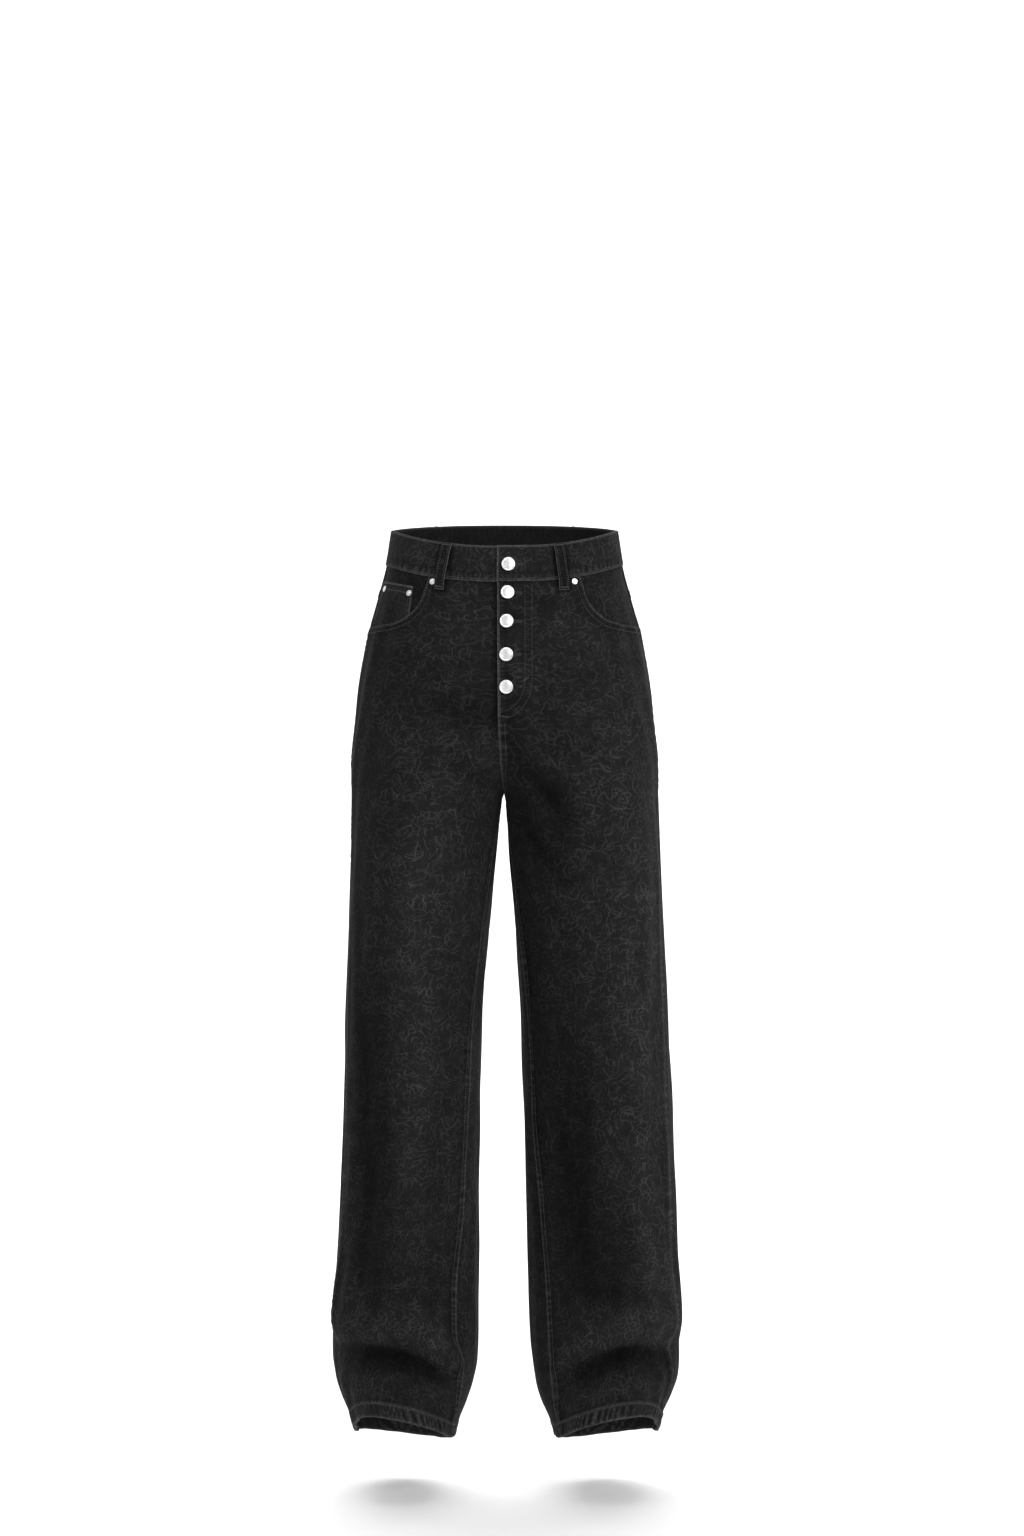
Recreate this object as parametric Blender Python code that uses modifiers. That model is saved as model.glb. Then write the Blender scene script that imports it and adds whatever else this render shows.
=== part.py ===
"""Wide leg jeans, worn pose, hollow: five pockets, high rise, button fly.

Metres, +Z up.  The front faces -Y and the wearer's right is at -X.  The origin
is the middle of the waist, level with the waistband's top edge at centre front.

A "level" is the height of a ring round the body before the waist dips at the
front and the hem rises over the foot.  An "angle" is measured round one leg's
axis in degrees: 0 points outward, 90 to the front, 180 inward, -90 to the back.
"""

import math
from collections import namedtuple

import bmesh
import bpy
import numpy as np
from mathutils import Vector

# ---------------------------------------------------------------- driving sizes
CLOTH = 0.0012            # one layer of denim
SEAM_GAP = 0.0003         # distance between neighbouring pieces
LAID_GAP = 0.0005         # and between a patch or loop and what it lies on
BAND_TOP = 0.0265         # level of the waistband's top edge
BAND_BOTTOM = -0.0185     # level of the waistband seam
HEM_LEVEL = -1.125        # level of the trouser hem at the sides
HEM_DEPTH = 0.020         # height of the turned hem
HEM_WALL = 0.0030         # the hem is three layers
CROTCH_LEVEL = -0.3125    # level of the point where the four panels meet
BLEND_TOP = -0.195        # above this the section is one hip ring
BLEND_BOTTOM = -0.3186    # below this there are two leg rings
HIP_POWER = 2.3           # squareness of the hip ring
LEG_POWER = 2.15          # squareness of the leg rings

WAIST_DIP_FRONT = 0.0265  # the waist dips at centre front
WAIST_RISE_BACK = 0.015   # and rises at centre back
WAIST_DIP_POWER = 1.9
WAIST_RISE_POWER = 1.2
TILT_FADE_BOTTOM = -0.200  # the dip has faded out at this level

HEM_RISE_FRONT = 0.038    # the hem rises over the instep
HEM_DROP_BACK = 0.020     # and drops at the heel
HEM_RISE_ANGLE = 72.0     # the rise's middle, a little outward of straight ahead
HEM_RISE_POWER = 1.8
HEM_RISE_FULL = 0.130     # height above the hem up to which the rise is full
HEM_RISE_ZERO = 0.300     # height above the hem where it has faded out

BAND_PROUD = 0.0009       # the waistband stands this far off the panels
BAND_WALL = 0.0026
OVERLAP_X = -0.0092       # the lap edge at the waist, on the wearer's right
UNDERLAP_X = 0.020        # the under end at the waist and the button stand's edge
BAND_LIFT = 0.00295       # the over end of the band clears the under end
FLY_LIFT = 0.0021         # the left front clears the button stand
LIFT_FULL_X = 0.024       # the lift is full up to this x
LIFT_ZERO_X = 0.045       # and has faded out at this x
FLY_END = -0.214          # level where the lap ends
FLY_LIFT_END = -0.240     # level where the lift has faded out
STAND_END = -0.204        # level of the button stand's lower end
TUCK = 0.004              # the right front reaches this far under the lap
TUCK_ZERO = 0.006         # heights above the lap's end where the tuck begins
TUCK_FULL = 0.020         # and where it is full

YOKE_SIDE = -0.0585       # level of the yoke seam at the side
YOKE_CENTRE_DROP = 0.030  # the yoke is deeper by this at centre back
YOKE_FADE = 0.120         # rows below the yoke even out over this height

FACING_INNER_X = 0.080    # the facing's hidden edge, under the front
FACING_BOTTOM = -0.125
FACING_EDGE_DEPTH = 0.0016
FACING_DEPTH = 0.0039
COIN_GAP = 0.0004         # between the coin pocket and the facing
FACING_RAMP = 0.010

LOOP_WIDTH = 0.0125
LOOP_WALL = 0.0018
LOOP_ARCH = 0.0030        # how far a belt loop's middle stands off

BUTTON_RADIUS = 0.0086
BUTTON_HEIGHT = 0.0042
RIVET_RADIUS = 0.0038
RIVET_HEIGHT = 0.0016

PANEL_COLUMNS = 15        # points across a front or a back
YOKE_ROWS = 4
COIN_POINTS = 8           # points each way on the coin pocket
POCKET_COLUMNS = 15
STAND_ROWS = 12
STAND_COLUMNS = 4
BAND_COLUMNS = 44         # points round the waistband before its over end
BUTTON_STEPS = 18         # points round a button
RIVET_STEPS = 12
ROW_GAP = 0.005           # rows keep this distance from an edge's own row
HEM_STEP = 0.0008         # height over which the wall widens into the hem
SHARP_ANGLE = 50.0        # edges that turn more than this stay sharp
MERGE_DISTANCE = 0.00001  # points this close on a turned piece's axis are one
ROUNDING = 0.0001         # a level this close to another counts as that level
SLOPE_STEP = 0.0004       # step used to measure the cloth's slope
HIP_RADIUS = 0.1          # rough radius that turns angles into lengths
SIDE_RADIUS = 0.09        # and at the side seams
METRES_A_DEGREE = 0.0016  # rough length of a degree round a leg's axis

# ------------------------------------------------------------- tables of sizes
HipRing = namedtuple("HipRing", "level half_width front back")
HIP_RINGS = [
    HipRing(0.027, 0.143, 0.104, 0.108),
    HipRing(-0.017, 0.150, 0.112, 0.114),
    HipRing(-0.060, 0.161, 0.121, 0.127),
    HipRing(-0.118, 0.176, 0.129, 0.143),
    HipRing(-0.180, 0.185, 0.131, 0.156),
    HipRing(-0.240, 0.190, 0.129, 0.160),
    HipRing(-0.320, 0.194, 0.124, 0.152),
]

# centre_x and half_width of each leg as seen from the front, the girth that the
# tape measures there, and how far back the ring's middle sits
LegRing = namedtuple("LegRing", "level right_x right_half left_x left_half girth back")
LEG_RINGS = [
    LegRing(-0.0000, 0.0650, 0.1200, 0.0650, 0.1200, 0.800, 0.010),
    LegRing(-0.2000, 0.0840, 0.1150, 0.0840, 0.1150, 0.770, 0.011),
    LegRing(-0.2500, 0.0905, 0.1075, 0.0900, 0.1080, 0.740, 0.012),
    LegRing(-0.2850, 0.0955, 0.1005, 0.0950, 0.1010, 0.716, 0.012),
    LegRing(-0.3186, 0.0991, 0.0955, 0.0984, 0.0965, 0.697, 0.012),
    LegRing(-0.3795, 0.1029, 0.0921, 0.1016, 0.0959, 0.664, 0.011),
    LegRing(-0.4532, 0.1073, 0.0902, 0.1067, 0.0946, 0.630, 0.008),
    LegRing(-0.5751, 0.1143, 0.0870, 0.1137, 0.0940, 0.588, 0.004),
    LegRing(-0.6970, 0.1175, 0.0864, 0.1181, 0.0946, 0.562, 0.003),
    LegRing(-0.8190, 0.1207, 0.0883, 0.1226, 0.0953, 0.550, 0.006),
    LegRing(-0.9409, 0.1245, 0.0908, 0.1270, 0.0959, 0.540, 0.012),
    LegRing(-1.0018, 0.1264, 0.0927, 0.1289, 0.0953, 0.538, 0.016),
    LegRing(-1.0272, 0.1270, 0.0921, 0.1302, 0.0940, 0.536, 0.017),
    LegRing(-1.0526, 0.1276, 0.0876, 0.1308, 0.0908, 0.530, 0.018),
    LegRing(-1.0780, 0.1283, 0.0794, 0.1302, 0.0826, 0.520, 0.019),
    LegRing(-1.1034, 0.1283, 0.0692, 0.1302, 0.0711, 0.510, 0.020),
    LegRing(-1.1250, 0.1276, 0.0630, 0.1308, 0.0650, 0.505, 0.020),
]

# angles of the outseam and the inseam round each leg
SeamRing = namedtuple("SeamRing", "level right_out right_in left_out left_in")
SEAM_RINGS = [
    SeamRing(0.0000, 4.0, 180.0, 4.0, 180.0),
    SeamRing(-0.2400, 4.0, 180.0, 5.0, 180.0),
    SeamRing(-0.3125, 9.0, 180.0, 13.0, 180.0),
    SeamRing(-0.3795, 15.0, 158.0, 22.0, 164.0),
    SeamRing(-0.4760, 19.0, 151.0, 25.0, 157.0),
    SeamRing(-0.5751, 20.0, 146.5, 26.0, 154.0),
    SeamRing(-0.6970, 20.0, 144.0, 25.0, 154.0),
    SeamRing(-0.8190, 19.5, 143.0, 23.0, 148.0),
    SeamRing(-0.9409, 18.0, 138.0, 23.0, 147.0),
    SeamRing(-1.0018, 16.0, 138.0, 22.5, 146.0),
    SeamRing(-1.0272, 14.5, 147.0, 22.0, 145.5),
    SeamRing(-1.1250, 12.0, 152.0, 18.0, 145.0),
]

# x of the lap edge and of the centre seam below it
LapPoint = namedtuple("LapPoint", "level x")
LAP_POINTS = [
    LapPoint(0.0265, -0.0092),
    LapPoint(-0.2140, -0.0080),
    LapPoint(-0.2700, -0.0055),
    LapPoint(-0.2990, -0.0020),
    LapPoint(-0.3070, 0.0),
]

# the scooped pocket mouth, from the waistband seam to the side seam
ScoopPoint = namedtuple("ScoopPoint", "x z")
SCOOP_POINTS = [
    ScoopPoint(0.0935, -0.0368),
    ScoopPoint(0.0987, -0.0524),
    ScoopPoint(0.1034, -0.0660),
    ScoopPoint(0.1105, -0.0773),
    ScoopPoint(0.1201, -0.0859),
    ScoopPoint(0.1297, -0.0917),
    ScoopPoint(0.1455, -0.0955),
    ScoopPoint(0.1640, -0.0972),
    ScoopPoint(0.1715, -0.0980),
]

# soft folds as seen from the front or the back: a ridge has a height above
# zero, a hollow below.  x and z are where its spine begins and ends.
FRONT = 1
BACK = -1
Fold = namedtuple("Fold", "face x1 z1 x2 z2 width height")
FOLDS = [
    # drag lines that run from the crotch to the thighs
    Fold(FRONT, -0.012, -0.290, -0.078, -0.262, 0.011, -0.0042),
    Fold(FRONT, -0.014, -0.268, -0.072, -0.238, 0.010, 0.0030),
    Fold(FRONT, -0.016, -0.306, -0.112, -0.292, 0.011, 0.0030),
    Fold(FRONT, -0.018, -0.222, -0.112, -0.190, 0.013, -0.0032),
    Fold(FRONT, 0.014, -0.268, 0.083, -0.342, 0.012, -0.0050),
    Fold(FRONT, 0.016, -0.238, 0.092, -0.292, 0.013, 0.0034),
    Fold(FRONT, 0.018, -0.330, 0.072, -0.418, 0.012, -0.0036),
    Fold(FRONT, 0.010, -0.066, 0.108, -0.090, 0.014, -0.0024),
    # long fall of the right leg
    Fold(FRONT, -0.104, -0.345, -0.114, -0.640, 0.022, 0.0058),
    Fold(FRONT, -0.114, -0.640, -0.132, -0.930, 0.018, 0.0045),
    Fold(FRONT, -0.165, -0.560, -0.176, -0.960, 0.016, -0.0040),
    Fold(FRONT, -0.064, -0.520, -0.080, -0.860, 0.014, -0.0026),
    Fold(FRONT, -0.132, -0.935, -0.052, -1.030, 0.013, 0.0050),
    Fold(FRONT, -0.188, -0.940, -0.150, -1.010, 0.012, 0.0030),
    # long fall of the left leg
    Fold(FRONT, 0.168, -0.320, 0.172, -0.860, 0.018, 0.0052),
    Fold(FRONT, 0.172, -0.860, 0.194, -0.930, 0.014, 0.0058),
    Fold(FRONT, 0.088, -0.560, 0.094, -0.900, 0.024, -0.0046),
    Fold(FRONT, 0.050, -0.420, 0.058, -0.900, 0.014, 0.0030),
    Fold(FRONT, 0.088, -0.925, 0.182, -0.940, 0.014, -0.0055),
    Fold(FRONT, 0.208, -0.950, 0.178, -0.985, 0.010, 0.0046),
    Fold(FRONT, 0.172, -0.960, 0.070, -1.040, 0.014, 0.0050),
    # the seat falls into the back of the thighs
    Fold(BACK, -0.020, -0.300, -0.140, -0.345, 0.016, -0.0062),
    Fold(BACK, -0.030, -0.340, -0.130, -0.395, 0.015, 0.0040),
    Fold(BACK, -0.060, -0.392, -0.160, -0.430, 0.015, -0.0038),
    Fold(BACK, 0.020, -0.305, 0.138, -0.338, 0.016, -0.0058),
    Fold(BACK, 0.028, -0.338, 0.126, -0.382, 0.015, 0.0042),
    Fold(BACK, 0.070, -0.400, 0.158, -0.424, 0.015, -0.0034),
    # slack behind the knees and over the heels
    Fold(BACK, -0.070, -0.660, -0.168, -0.640, 0.018, -0.0044),
    Fold(BACK, -0.080, -0.735, -0.160, -0.745, 0.018, 0.0034),
    Fold(BACK, 0.076, -0.640, 0.172, -0.668, 0.018, -0.0042),
    Fold(BACK, 0.084, -0.742, 0.170, -0.728, 0.018, 0.0036),
    Fold(BACK, -0.120, -0.420, -0.128, -0.900, 0.026, 0.0050),
    Fold(BACK, 0.124, -0.430, 0.132, -0.880, 0.026, 0.0046),
    Fold(BACK, -0.078, -1.000, -0.176, -0.972, 0.015, -0.0060),
    Fold(BACK, -0.082, -1.058, -0.160, -1.048, 0.014, 0.0034),
    Fold(BACK, 0.082, -0.978, 0.180, -1.002, 0.015, -0.0058),
    Fold(BACK, 0.088, -1.046, 0.166, -1.060, 0.014, 0.0036),
]

# the break over the instep: how far the cloth bulges or sinks at each height
# above the hem
BreakRow = namedtuple("BreakRow", "height offset")
BREAK_ROWS = [
    BreakRow(0.000, 0.000),
    BreakRow(0.040, 0.001),
    BreakRow(0.075, 0.000),
    BreakRow(0.105, -0.007),
    BreakRow(0.122, -0.010),
    BreakRow(0.138, 0.001),
    BreakRow(0.156, 0.007),
    BreakRow(0.190, 0.005),
    BreakRow(0.240, 0.000),
]
BREAK_FROM = -6.0         # the break runs between these angles
BREAK_FULL_FROM = 30.0
BREAK_FULL_TO = 120.0
BREAK_TO = 152.0
BREAK_APEX = 51.0         # the crease is highest here
BREAK_SPAN = 75.0         # and this many degrees away it has sagged
BREAK_SAG_OUTER = 0.0135  # by this toward its outer end
BREAK_SAG_INNER = 0.029   # and by this toward its inner end

# levels of the panels' rows
HIP_LEVELS = [-0.034, -0.054, -0.070, -0.086, -0.106, -0.126, -0.150, -0.180,
              -0.2045, -0.2140, -0.240, -0.264, -0.284, -0.299, -0.308, -0.3125]
MOUTH_BOTTOM = -0.106     # the first level row below the pocket mouth
SIDE_TOP = -0.086         # a front meets the side seam only below this level
EVEN_LEVEL = -0.300       # columns are evenly spread below this level
CROTCH_STEP = 0.002       # the rise is measured from this far above the crotch
MOUTH_COLUMNS = 8         # columns that end at the pocket mouth
FLY_COLUMNS = [LIFT_ZERO_X, LIFT_FULL_X, 0.012]
MOUTH_ROWS = [0.0, 0.10, 0.26, 0.44, 0.62, 0.81, 1.0]
LEG_LEVELS = [-0.320, -0.336, -0.360, -0.400, -0.450, -0.510, -0.580, -0.650,
              -0.720, -0.790, -0.850, -0.900, -0.935, -0.960, -0.980, -0.995,
              -1.006, -1.014, -1.020, -1.026, -1.034, -1.046, -1.064, -1.084]
FACING_ROWS = [0.0, 0.004, 0.0075, 0.011, 0.029]  # below the waistband seam
FACING_LOW_ROWS = 5       # rows from there to the facing's foot
FACING_SHARES = [0.0, 0.06, 0.12, 0.2, 0.36, 0.52, 0.68, 0.84, 1.0]
BAND_LAP_X = [LIFT_ZERO_X, 0.034, LIFT_FULL_X, 0.012, 0.0, OVERLAP_X]
BAND_STEP = 7.5           # degrees between the last plain column and the lap's first
OVER_END_TURN = 300.0     # beyond this turn the strip is its over end

# buttons and rivets, as places on the front
ButtonPlace = namedtuple("ButtonPlace", "name x z")
BUTTONS = [
    ButtonPlace("waist_button", 0.0049, -0.0244),
    ButtonPlace("fly_button_1", 0.0035, -0.0593),
    ButtonPlace("fly_button_2", 0.0028, -0.0950),
    ButtonPlace("fly_button_3", 0.0025, -0.1356),
    ButtonPlace("fly_button_4", 0.0025, -0.1754),
]
RivetPlace = namedtuple("RivetPlace", "name x z on")
RIVETS = [
    RivetPlace("rivet_pocket_right", -0.0890, -0.0440, "front"),
    RivetPlace("rivet_pocket_left", 0.0870, -0.0440, "front"),
    RivetPlace("rivet_coin_pocket_in", -0.1198, -0.0568, "coin"),
    RivetPlace("rivet_coin_pocket_out", -0.1525, -0.0490, "coin"),
]

LoopPlace = namedtuple("LoopPlace", "name face x_top x_bottom")
LOOPS = [
    LoopPlace("belt_loop_front_right", FRONT, -0.0702, -0.0809),
    LoopPlace("belt_loop_front_left", FRONT, 0.0663, 0.0738),
    LoopPlace("belt_loop_back_right", BACK, -0.0980, -0.1060),
    LoopPlace("belt_loop_back_left", BACK, 0.0980, 0.1060),
    LoopPlace("belt_loop_centre_back", BACK, 0.0, 0.0),
]
LOOP_TOP = 0.0262         # levels of a belt loop's ends
LOOP_BOTTOM = -0.0330
LOOP_SHARES = [0.0, 0.06, 0.16, 0.32, 0.5, 0.68, 0.84, 0.93, 1.0]
LOOP_STEP_TOP = -0.0175   # levels between which a loop steps down off the band
LOOP_STEP_BOTTOM = -0.0275
LOOP_ARCH_TOP = 0.22      # shares of its length where the arch is full
LOOP_ARCH_BOTTOM = 0.80

# back pocket, measured along the cloth from the centre back seam
POCKET_MIDDLE = 0.098
POCKET_TOP_HALF = 0.075
POCKET_LOW_HALF = 0.066
POCKET_TOP = -0.112
POCKET_SIDE_HEIGHT = 0.140
POCKET_POINT_HEIGHT = 0.165

# coin pocket corners on the facing: x and level of the mouth and foot
COIN_FROM_SEAM = 0.0125   # from the side seam to the coin pocket's edge
COIN_INNER_TOP_X = 0.1154
COIN_INNER_FOOT_X = 0.1230
COIN_TOP_OUTER = -0.0385
COIN_TOP_INNER = -0.0340
COIN_FOOT = -0.1120

RIGHT = -1                # wearer's right, at -X
LEFT = 1                  # wearer's left, at +X

ARC_STEPS = 60            # steps that measure along the cloth
INSET_SLACK = 0.6         # seams stand this much further apart at the break
SLACK_FROM = -0.955       # and these levels are where that begins
SLACK_FULL = -0.995       # and is full


# -------------------------------------------------------------- small mathematics
def smooth_share(value, zero_at, one_at):
    """0 at zero_at, 1 at one_at, smooth between, held outside."""
    share = np.clip((value - zero_at) / (one_at - zero_at), 0.0, 1.0)
    return share * share * (3.0 - 2.0 * share)


def soft_share(value, zero_at, one_at):
    """As smooth_share, with gentler ends."""
    share = np.clip((value - zero_at) / (one_at - zero_at), 0.0, 1.0)
    return share ** 3 * (share * (6.0 * share - 15.0) + 10.0)


def smooth_curve(xs, ys):
    """A smooth curve through the points, as a function; the xs may fall."""
    order = np.argsort(xs)
    px = np.asarray(xs, float)[order]
    py = np.asarray(ys, float)[order]
    chord = np.diff(py) / np.diff(px)
    slope = np.empty(len(px))
    slope[0] = chord[0]
    slope[-1] = chord[-1]
    flat = chord[:-1] * chord[1:] <= 0.0
    total = chord[:-1] + chord[1:]
    slope[1:-1] = np.where(flat, 0.0, 2.0 * chord[:-1] * chord[1:] / np.where(flat, 1.0, total))

    def read(x):
        at = np.clip(x, px[0], px[-1])
        i = np.clip(np.searchsorted(px, at, side="right") - 1, 0, len(px) - 2)
        span = px[i + 1] - px[i]
        t = (at - px[i]) / span
        start = (1.0 + 2.0 * t) * (1.0 - t) ** 2 * py[i] + t * (1.0 - t) ** 2 * span * slope[i]
        end = t * t * (3.0 - 2.0 * t) * py[i + 1] + t * t * (t - 1.0) * span * slope[i + 1]
        return start + end

    return read


def column(rows, name):
    """One named column of a table as a smooth function of the level."""
    return smooth_curve([row.level for row in rows], [getattr(row, name) for row in rows])


def leg_reach(across, ahead, half_width, half_depth):
    """Distance from a leg's axis to its ring in a direction."""
    wide = np.abs(across / half_width) ** LEG_POWER
    deep = np.abs(ahead / half_depth) ** LEG_POWER
    return (wide + deep) ** (-1.0 / LEG_POWER)


def ring_girth(half_width, half_depth):
    """Length of a tape round a leg ring."""
    turn = np.linspace(0.0, 2.0 * math.pi, 181)
    c = np.cos(turn)
    s = np.sin(turn)
    reach = leg_reach(c, s, half_width, half_depth)
    return float(np.hypot(np.diff(reach * c), np.diff(reach * s)).sum())


def depth_from_girth(girth, half_width):
    """The half depth that gives a ring of this half width its girth."""
    low = 0.02
    high = 0.30
    for _ in range(40):
        middle = 0.5 * (low + high)
        if ring_girth(half_width, middle) < girth:
            low = middle
        else:
            high = middle
    return 0.5 * (low + high)


# ---------------------------------------------------------------- form of the body
HIP_WIDTH = column(HIP_RINGS, "half_width")
HIP_FRONT = column(HIP_RINGS, "front")
HIP_BACK = column(HIP_RINGS, "back")
LEG_BACK = column(LEG_RINGS, "back")
LEG_X = {RIGHT: column(LEG_RINGS, "right_x"), LEFT: column(LEG_RINGS, "left_x")}
LEG_HALF = {RIGHT: column(LEG_RINGS, "right_half"), LEFT: column(LEG_RINGS, "left_half")}
LEG_RING_LEVELS = [r.level for r in LEG_RINGS]
LEG_DEPTH = {
    RIGHT: smooth_curve(LEG_RING_LEVELS, [depth_from_girth(r.girth, r.right_half) for r in LEG_RINGS]),
    LEFT: smooth_curve(LEG_RING_LEVELS, [depth_from_girth(r.girth, r.left_half) for r in LEG_RINGS]),
}
OUTSEAM = {RIGHT: column(SEAM_RINGS, "right_out"), LEFT: column(SEAM_RINGS, "left_out")}
INSEAM = {RIGHT: column(SEAM_RINGS, "right_in"), LEFT: column(SEAM_RINGS, "left_in")}
LAP_X = column(LAP_POINTS, "x")
BREAK_OFFSET = smooth_curve([r.height for r in BREAK_ROWS], [r.offset for r in BREAK_ROWS])


def hip_reach(level, out, forward, across, ahead):
    """Distance from (out, forward) to the hip ring in direction (across, ahead).

    Newton's steps from outside the ring close in on it from one side.
    """
    width = HIP_WIDTH(level)
    front = HIP_FRONT(level)
    back = HIP_BACK(level)
    reach = np.full(np.broadcast(level, across).shape, 0.45)
    for _ in range(11):
        u = out + reach * across
        v = forward + reach * ahead
        depth = np.where(v > 0.0, front, back)
        wide = np.abs(u / width)
        deep = np.abs(v / depth)
        value = wide ** HIP_POWER + deep ** HIP_POWER - 1.0
        slope = wide ** (HIP_POWER - 1.0) * np.sign(u) * across / width
        slope = HIP_POWER * (slope + deep ** (HIP_POWER - 1.0) * np.sign(v) * ahead / depth)
        reach = reach - value / slope
    return reach


def fold_height(angle, x, z, v):
    """How far the folds move the cloth out at a place."""
    total = np.zeros(np.shape(x))
    for fold in FOLDS:
        dx = fold.x2 - fold.x1
        dz = fold.z2 - fold.z1
        length = math.hypot(dx, dz)
        along = ((x - fold.x1) * dx + (z - fold.z1) * dz) / length
        off = ((x - fold.x1) * dz - (z - fold.z1) * dx) / length
        fade = 0.22 * length + fold.width
        ends = smooth_share(along, -fade, fade) * smooth_share(along, length + fade, length - fade)
        facing = smooth_share(v * fold.face, 0.0, 0.045)
        total = total + fold.height * np.exp(-((off / fold.width) ** 2)) * ends * facing
    return total * smooth_share(np.abs(x), 0.0, 0.014) + break_height(angle, z)


def break_height(angle, z):
    """The deep fold above each hem, where the cloth rests on the instep."""
    height = z - HEM_LEVEL
    turn = angle - BREAK_APEX
    sag = np.where(turn < 0.0, BREAK_SAG_OUTER, BREAK_SAG_INNER) * (turn / BREAK_SPAN) ** 2
    outer_end = smooth_share(angle, BREAK_FROM, BREAK_FULL_FROM)
    inner_end = smooth_share(angle, BREAK_TO, BREAK_FULL_TO)
    return BREAK_OFFSET(height + sag) * outer_end * inner_end


def surface(side, angle, level):
    """Outer face of the cloth at an angle round one leg's axis and a level."""
    angle, level = np.broadcast_arrays(np.asarray(angle, float), np.asarray(level, float))
    across = np.cos(np.radians(angle))
    ahead = np.sin(np.radians(angle))
    out = LEG_X[side](level)
    forward = -LEG_BACK(level)
    reach = leg_reach(across, ahead, LEG_HALF[side](level), LEG_DEPTH[side](level))
    share = soft_share(level, BLEND_BOTTOM, BLEND_TOP)
    if np.any(share > 0.0):
        reach = (1.0 - share) * reach + share * hip_reach(level, out, forward, across, ahead)
    u = out + reach * across
    v = forward + reach * ahead
    z = level + waist_tilt(level, v) + hem_tilt(angle, level)
    push = fold_height(angle, side * u, z, v)
    u = u + push * across
    v = v + push * ahead
    return np.stack([side * u, -v, z], axis=-1)


def waist_tilt(level, v):
    """The waist dips at the front and rises at the back."""
    fade = smooth_share(level, TILT_FADE_BOTTOM, BAND_BOTTOM)
    ahead = np.clip(v / HIP_FRONT(level), 0.0, 1.0)
    behind = np.clip(-v / HIP_BACK(level), 0.0, 1.0)
    rise = WAIST_RISE_BACK * behind ** WAIST_RISE_POWER
    dip = WAIST_DIP_FRONT * ahead ** WAIST_DIP_POWER
    return fade * (rise - dip)


def hem_tilt(angle, level):
    """The hem rises over the instep and drops at the heel."""
    fade = smooth_share(level - HEM_LEVEL, HEM_RISE_ZERO, HEM_RISE_FULL)
    toward = np.cos(np.radians(angle - HEM_RISE_ANGLE))
    up = HEM_RISE_FRONT * np.clip(toward, 0.0, 1.0) ** HEM_RISE_POWER
    down = HEM_DROP_BACK * np.clip(-toward, 0.0, 1.0) ** HEM_RISE_POWER
    return fade * (up - down)


def angle_where(side, level, low, high, test):
    """Angle between low and high where test(point) turns from true to false."""
    near = np.full(np.shape(level), float(low))
    far = np.full(np.shape(level), float(high))
    for _ in range(26):
        middle = 0.5 * (near + far)
        keep = test(surface(side, middle, level))
        near = np.where(keep, middle, near)
        far = np.where(keep, far, middle)
    return 0.5 * (near + far)


def centre_table(side, face):
    """Angle at which the cloth reaches the middle plane, x = 0, by level."""
    spacing = np.linspace(0.0, 1.0, 400) ** 2
    levels = CROTCH_LEVEL + spacing * (BAND_TOP + 0.01 - CROTCH_LEVEL)
    angles = angle_where(side, levels, 60.0 * face, 180.0 * face, lambda p: p[..., 0] * side > 0.0)
    return lambda level: np.interp(level, levels, angles)


CENTRE = {(side, face): centre_table(side, face) for side in (RIGHT, LEFT) for face in (FRONT, BACK)}


def over_centre(side, angle, level):
    """The front beyond the middle plane carries on over the other side."""
    middle = CENTRE[side, FRONT](level)
    past = angle > middle
    own = surface(side, np.minimum(angle, middle), level)
    other = surface(-side, np.where(past, 2.0 * middle - angle, middle), level)
    return np.where(past[..., None], other, own)


def front_edge_angle(side, level, x_edge):
    """Angle of the front panel's inner edge, which may lie past the middle."""
    middle = CENTRE[side, FRONT](level)
    own = angle_where(side, level, 60.0, 180.0, lambda p: p[..., 0] * side > x_edge * side)
    other = angle_where(-side, level, 60.0, 180.0, lambda p: p[..., 0] * side < x_edge * side)
    return np.where(x_edge * side > 0.0, own, 2.0 * middle - other)


def normals_of(place, angle, level):
    """Outward unit normals of a surface given as place(angle, level)."""
    turn = np.degrees(SLOPE_STEP / HIP_RADIUS)
    around = place(angle + turn, level) - place(angle - turn, level)
    along = place(angle, level + SLOPE_STEP) - place(angle, level - SLOPE_STEP)
    normal = np.cross(along, around)
    return normal / np.linalg.norm(normal, axis=-1, keepdims=True)


def offset_from(turning, place, angle, level, outward):
    """Points moved off the surface along its outward normal.

    turning is 1 or -1: which way the angle runs, seen from above.
    """
    normal = normals_of(place, angle, level) * turning
    return place(angle, level) + normal * np.asarray(outward)[..., None]


def angle_at_x(side, level, x, face=FRONT):
    """Angle of the place with this x on the front or the back."""
    return angle_where(side, level, 0.0, 175.0 * face, lambda p: p[..., 0] * side > np.abs(x))


def place_on(side, x, z, face=FRONT):
    """Angle and level of the place that is seen at x and z."""
    level = np.array(z)
    for _ in range(12):
        angle = angle_at_x(side, level, x, face)
        level = level + (z - surface(side, angle, level)[..., 2])
    return angle, level


def angle_at_arc(side, level, arc):
    """Angle on the back at this distance along the cloth from the centre seam."""
    centre = CENTRE[side, BACK](level)
    steps = np.linspace(0.0, 1.0, ARC_STEPS)
    angles = centre[..., None] + (OUTSEAM[side](level) - centre)[..., None] * steps
    points = surface(side, angles, level[..., None])
    length = np.cumsum(np.linalg.norm(np.diff(points, axis=-2), axis=-1), axis=-1)
    found = np.empty(np.shape(level))
    for i in np.ndindex(found.shape):
        found[i] = np.interp(arc[i], np.concatenate([[0.0], length[i]]), angles[i])
    return found


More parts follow.
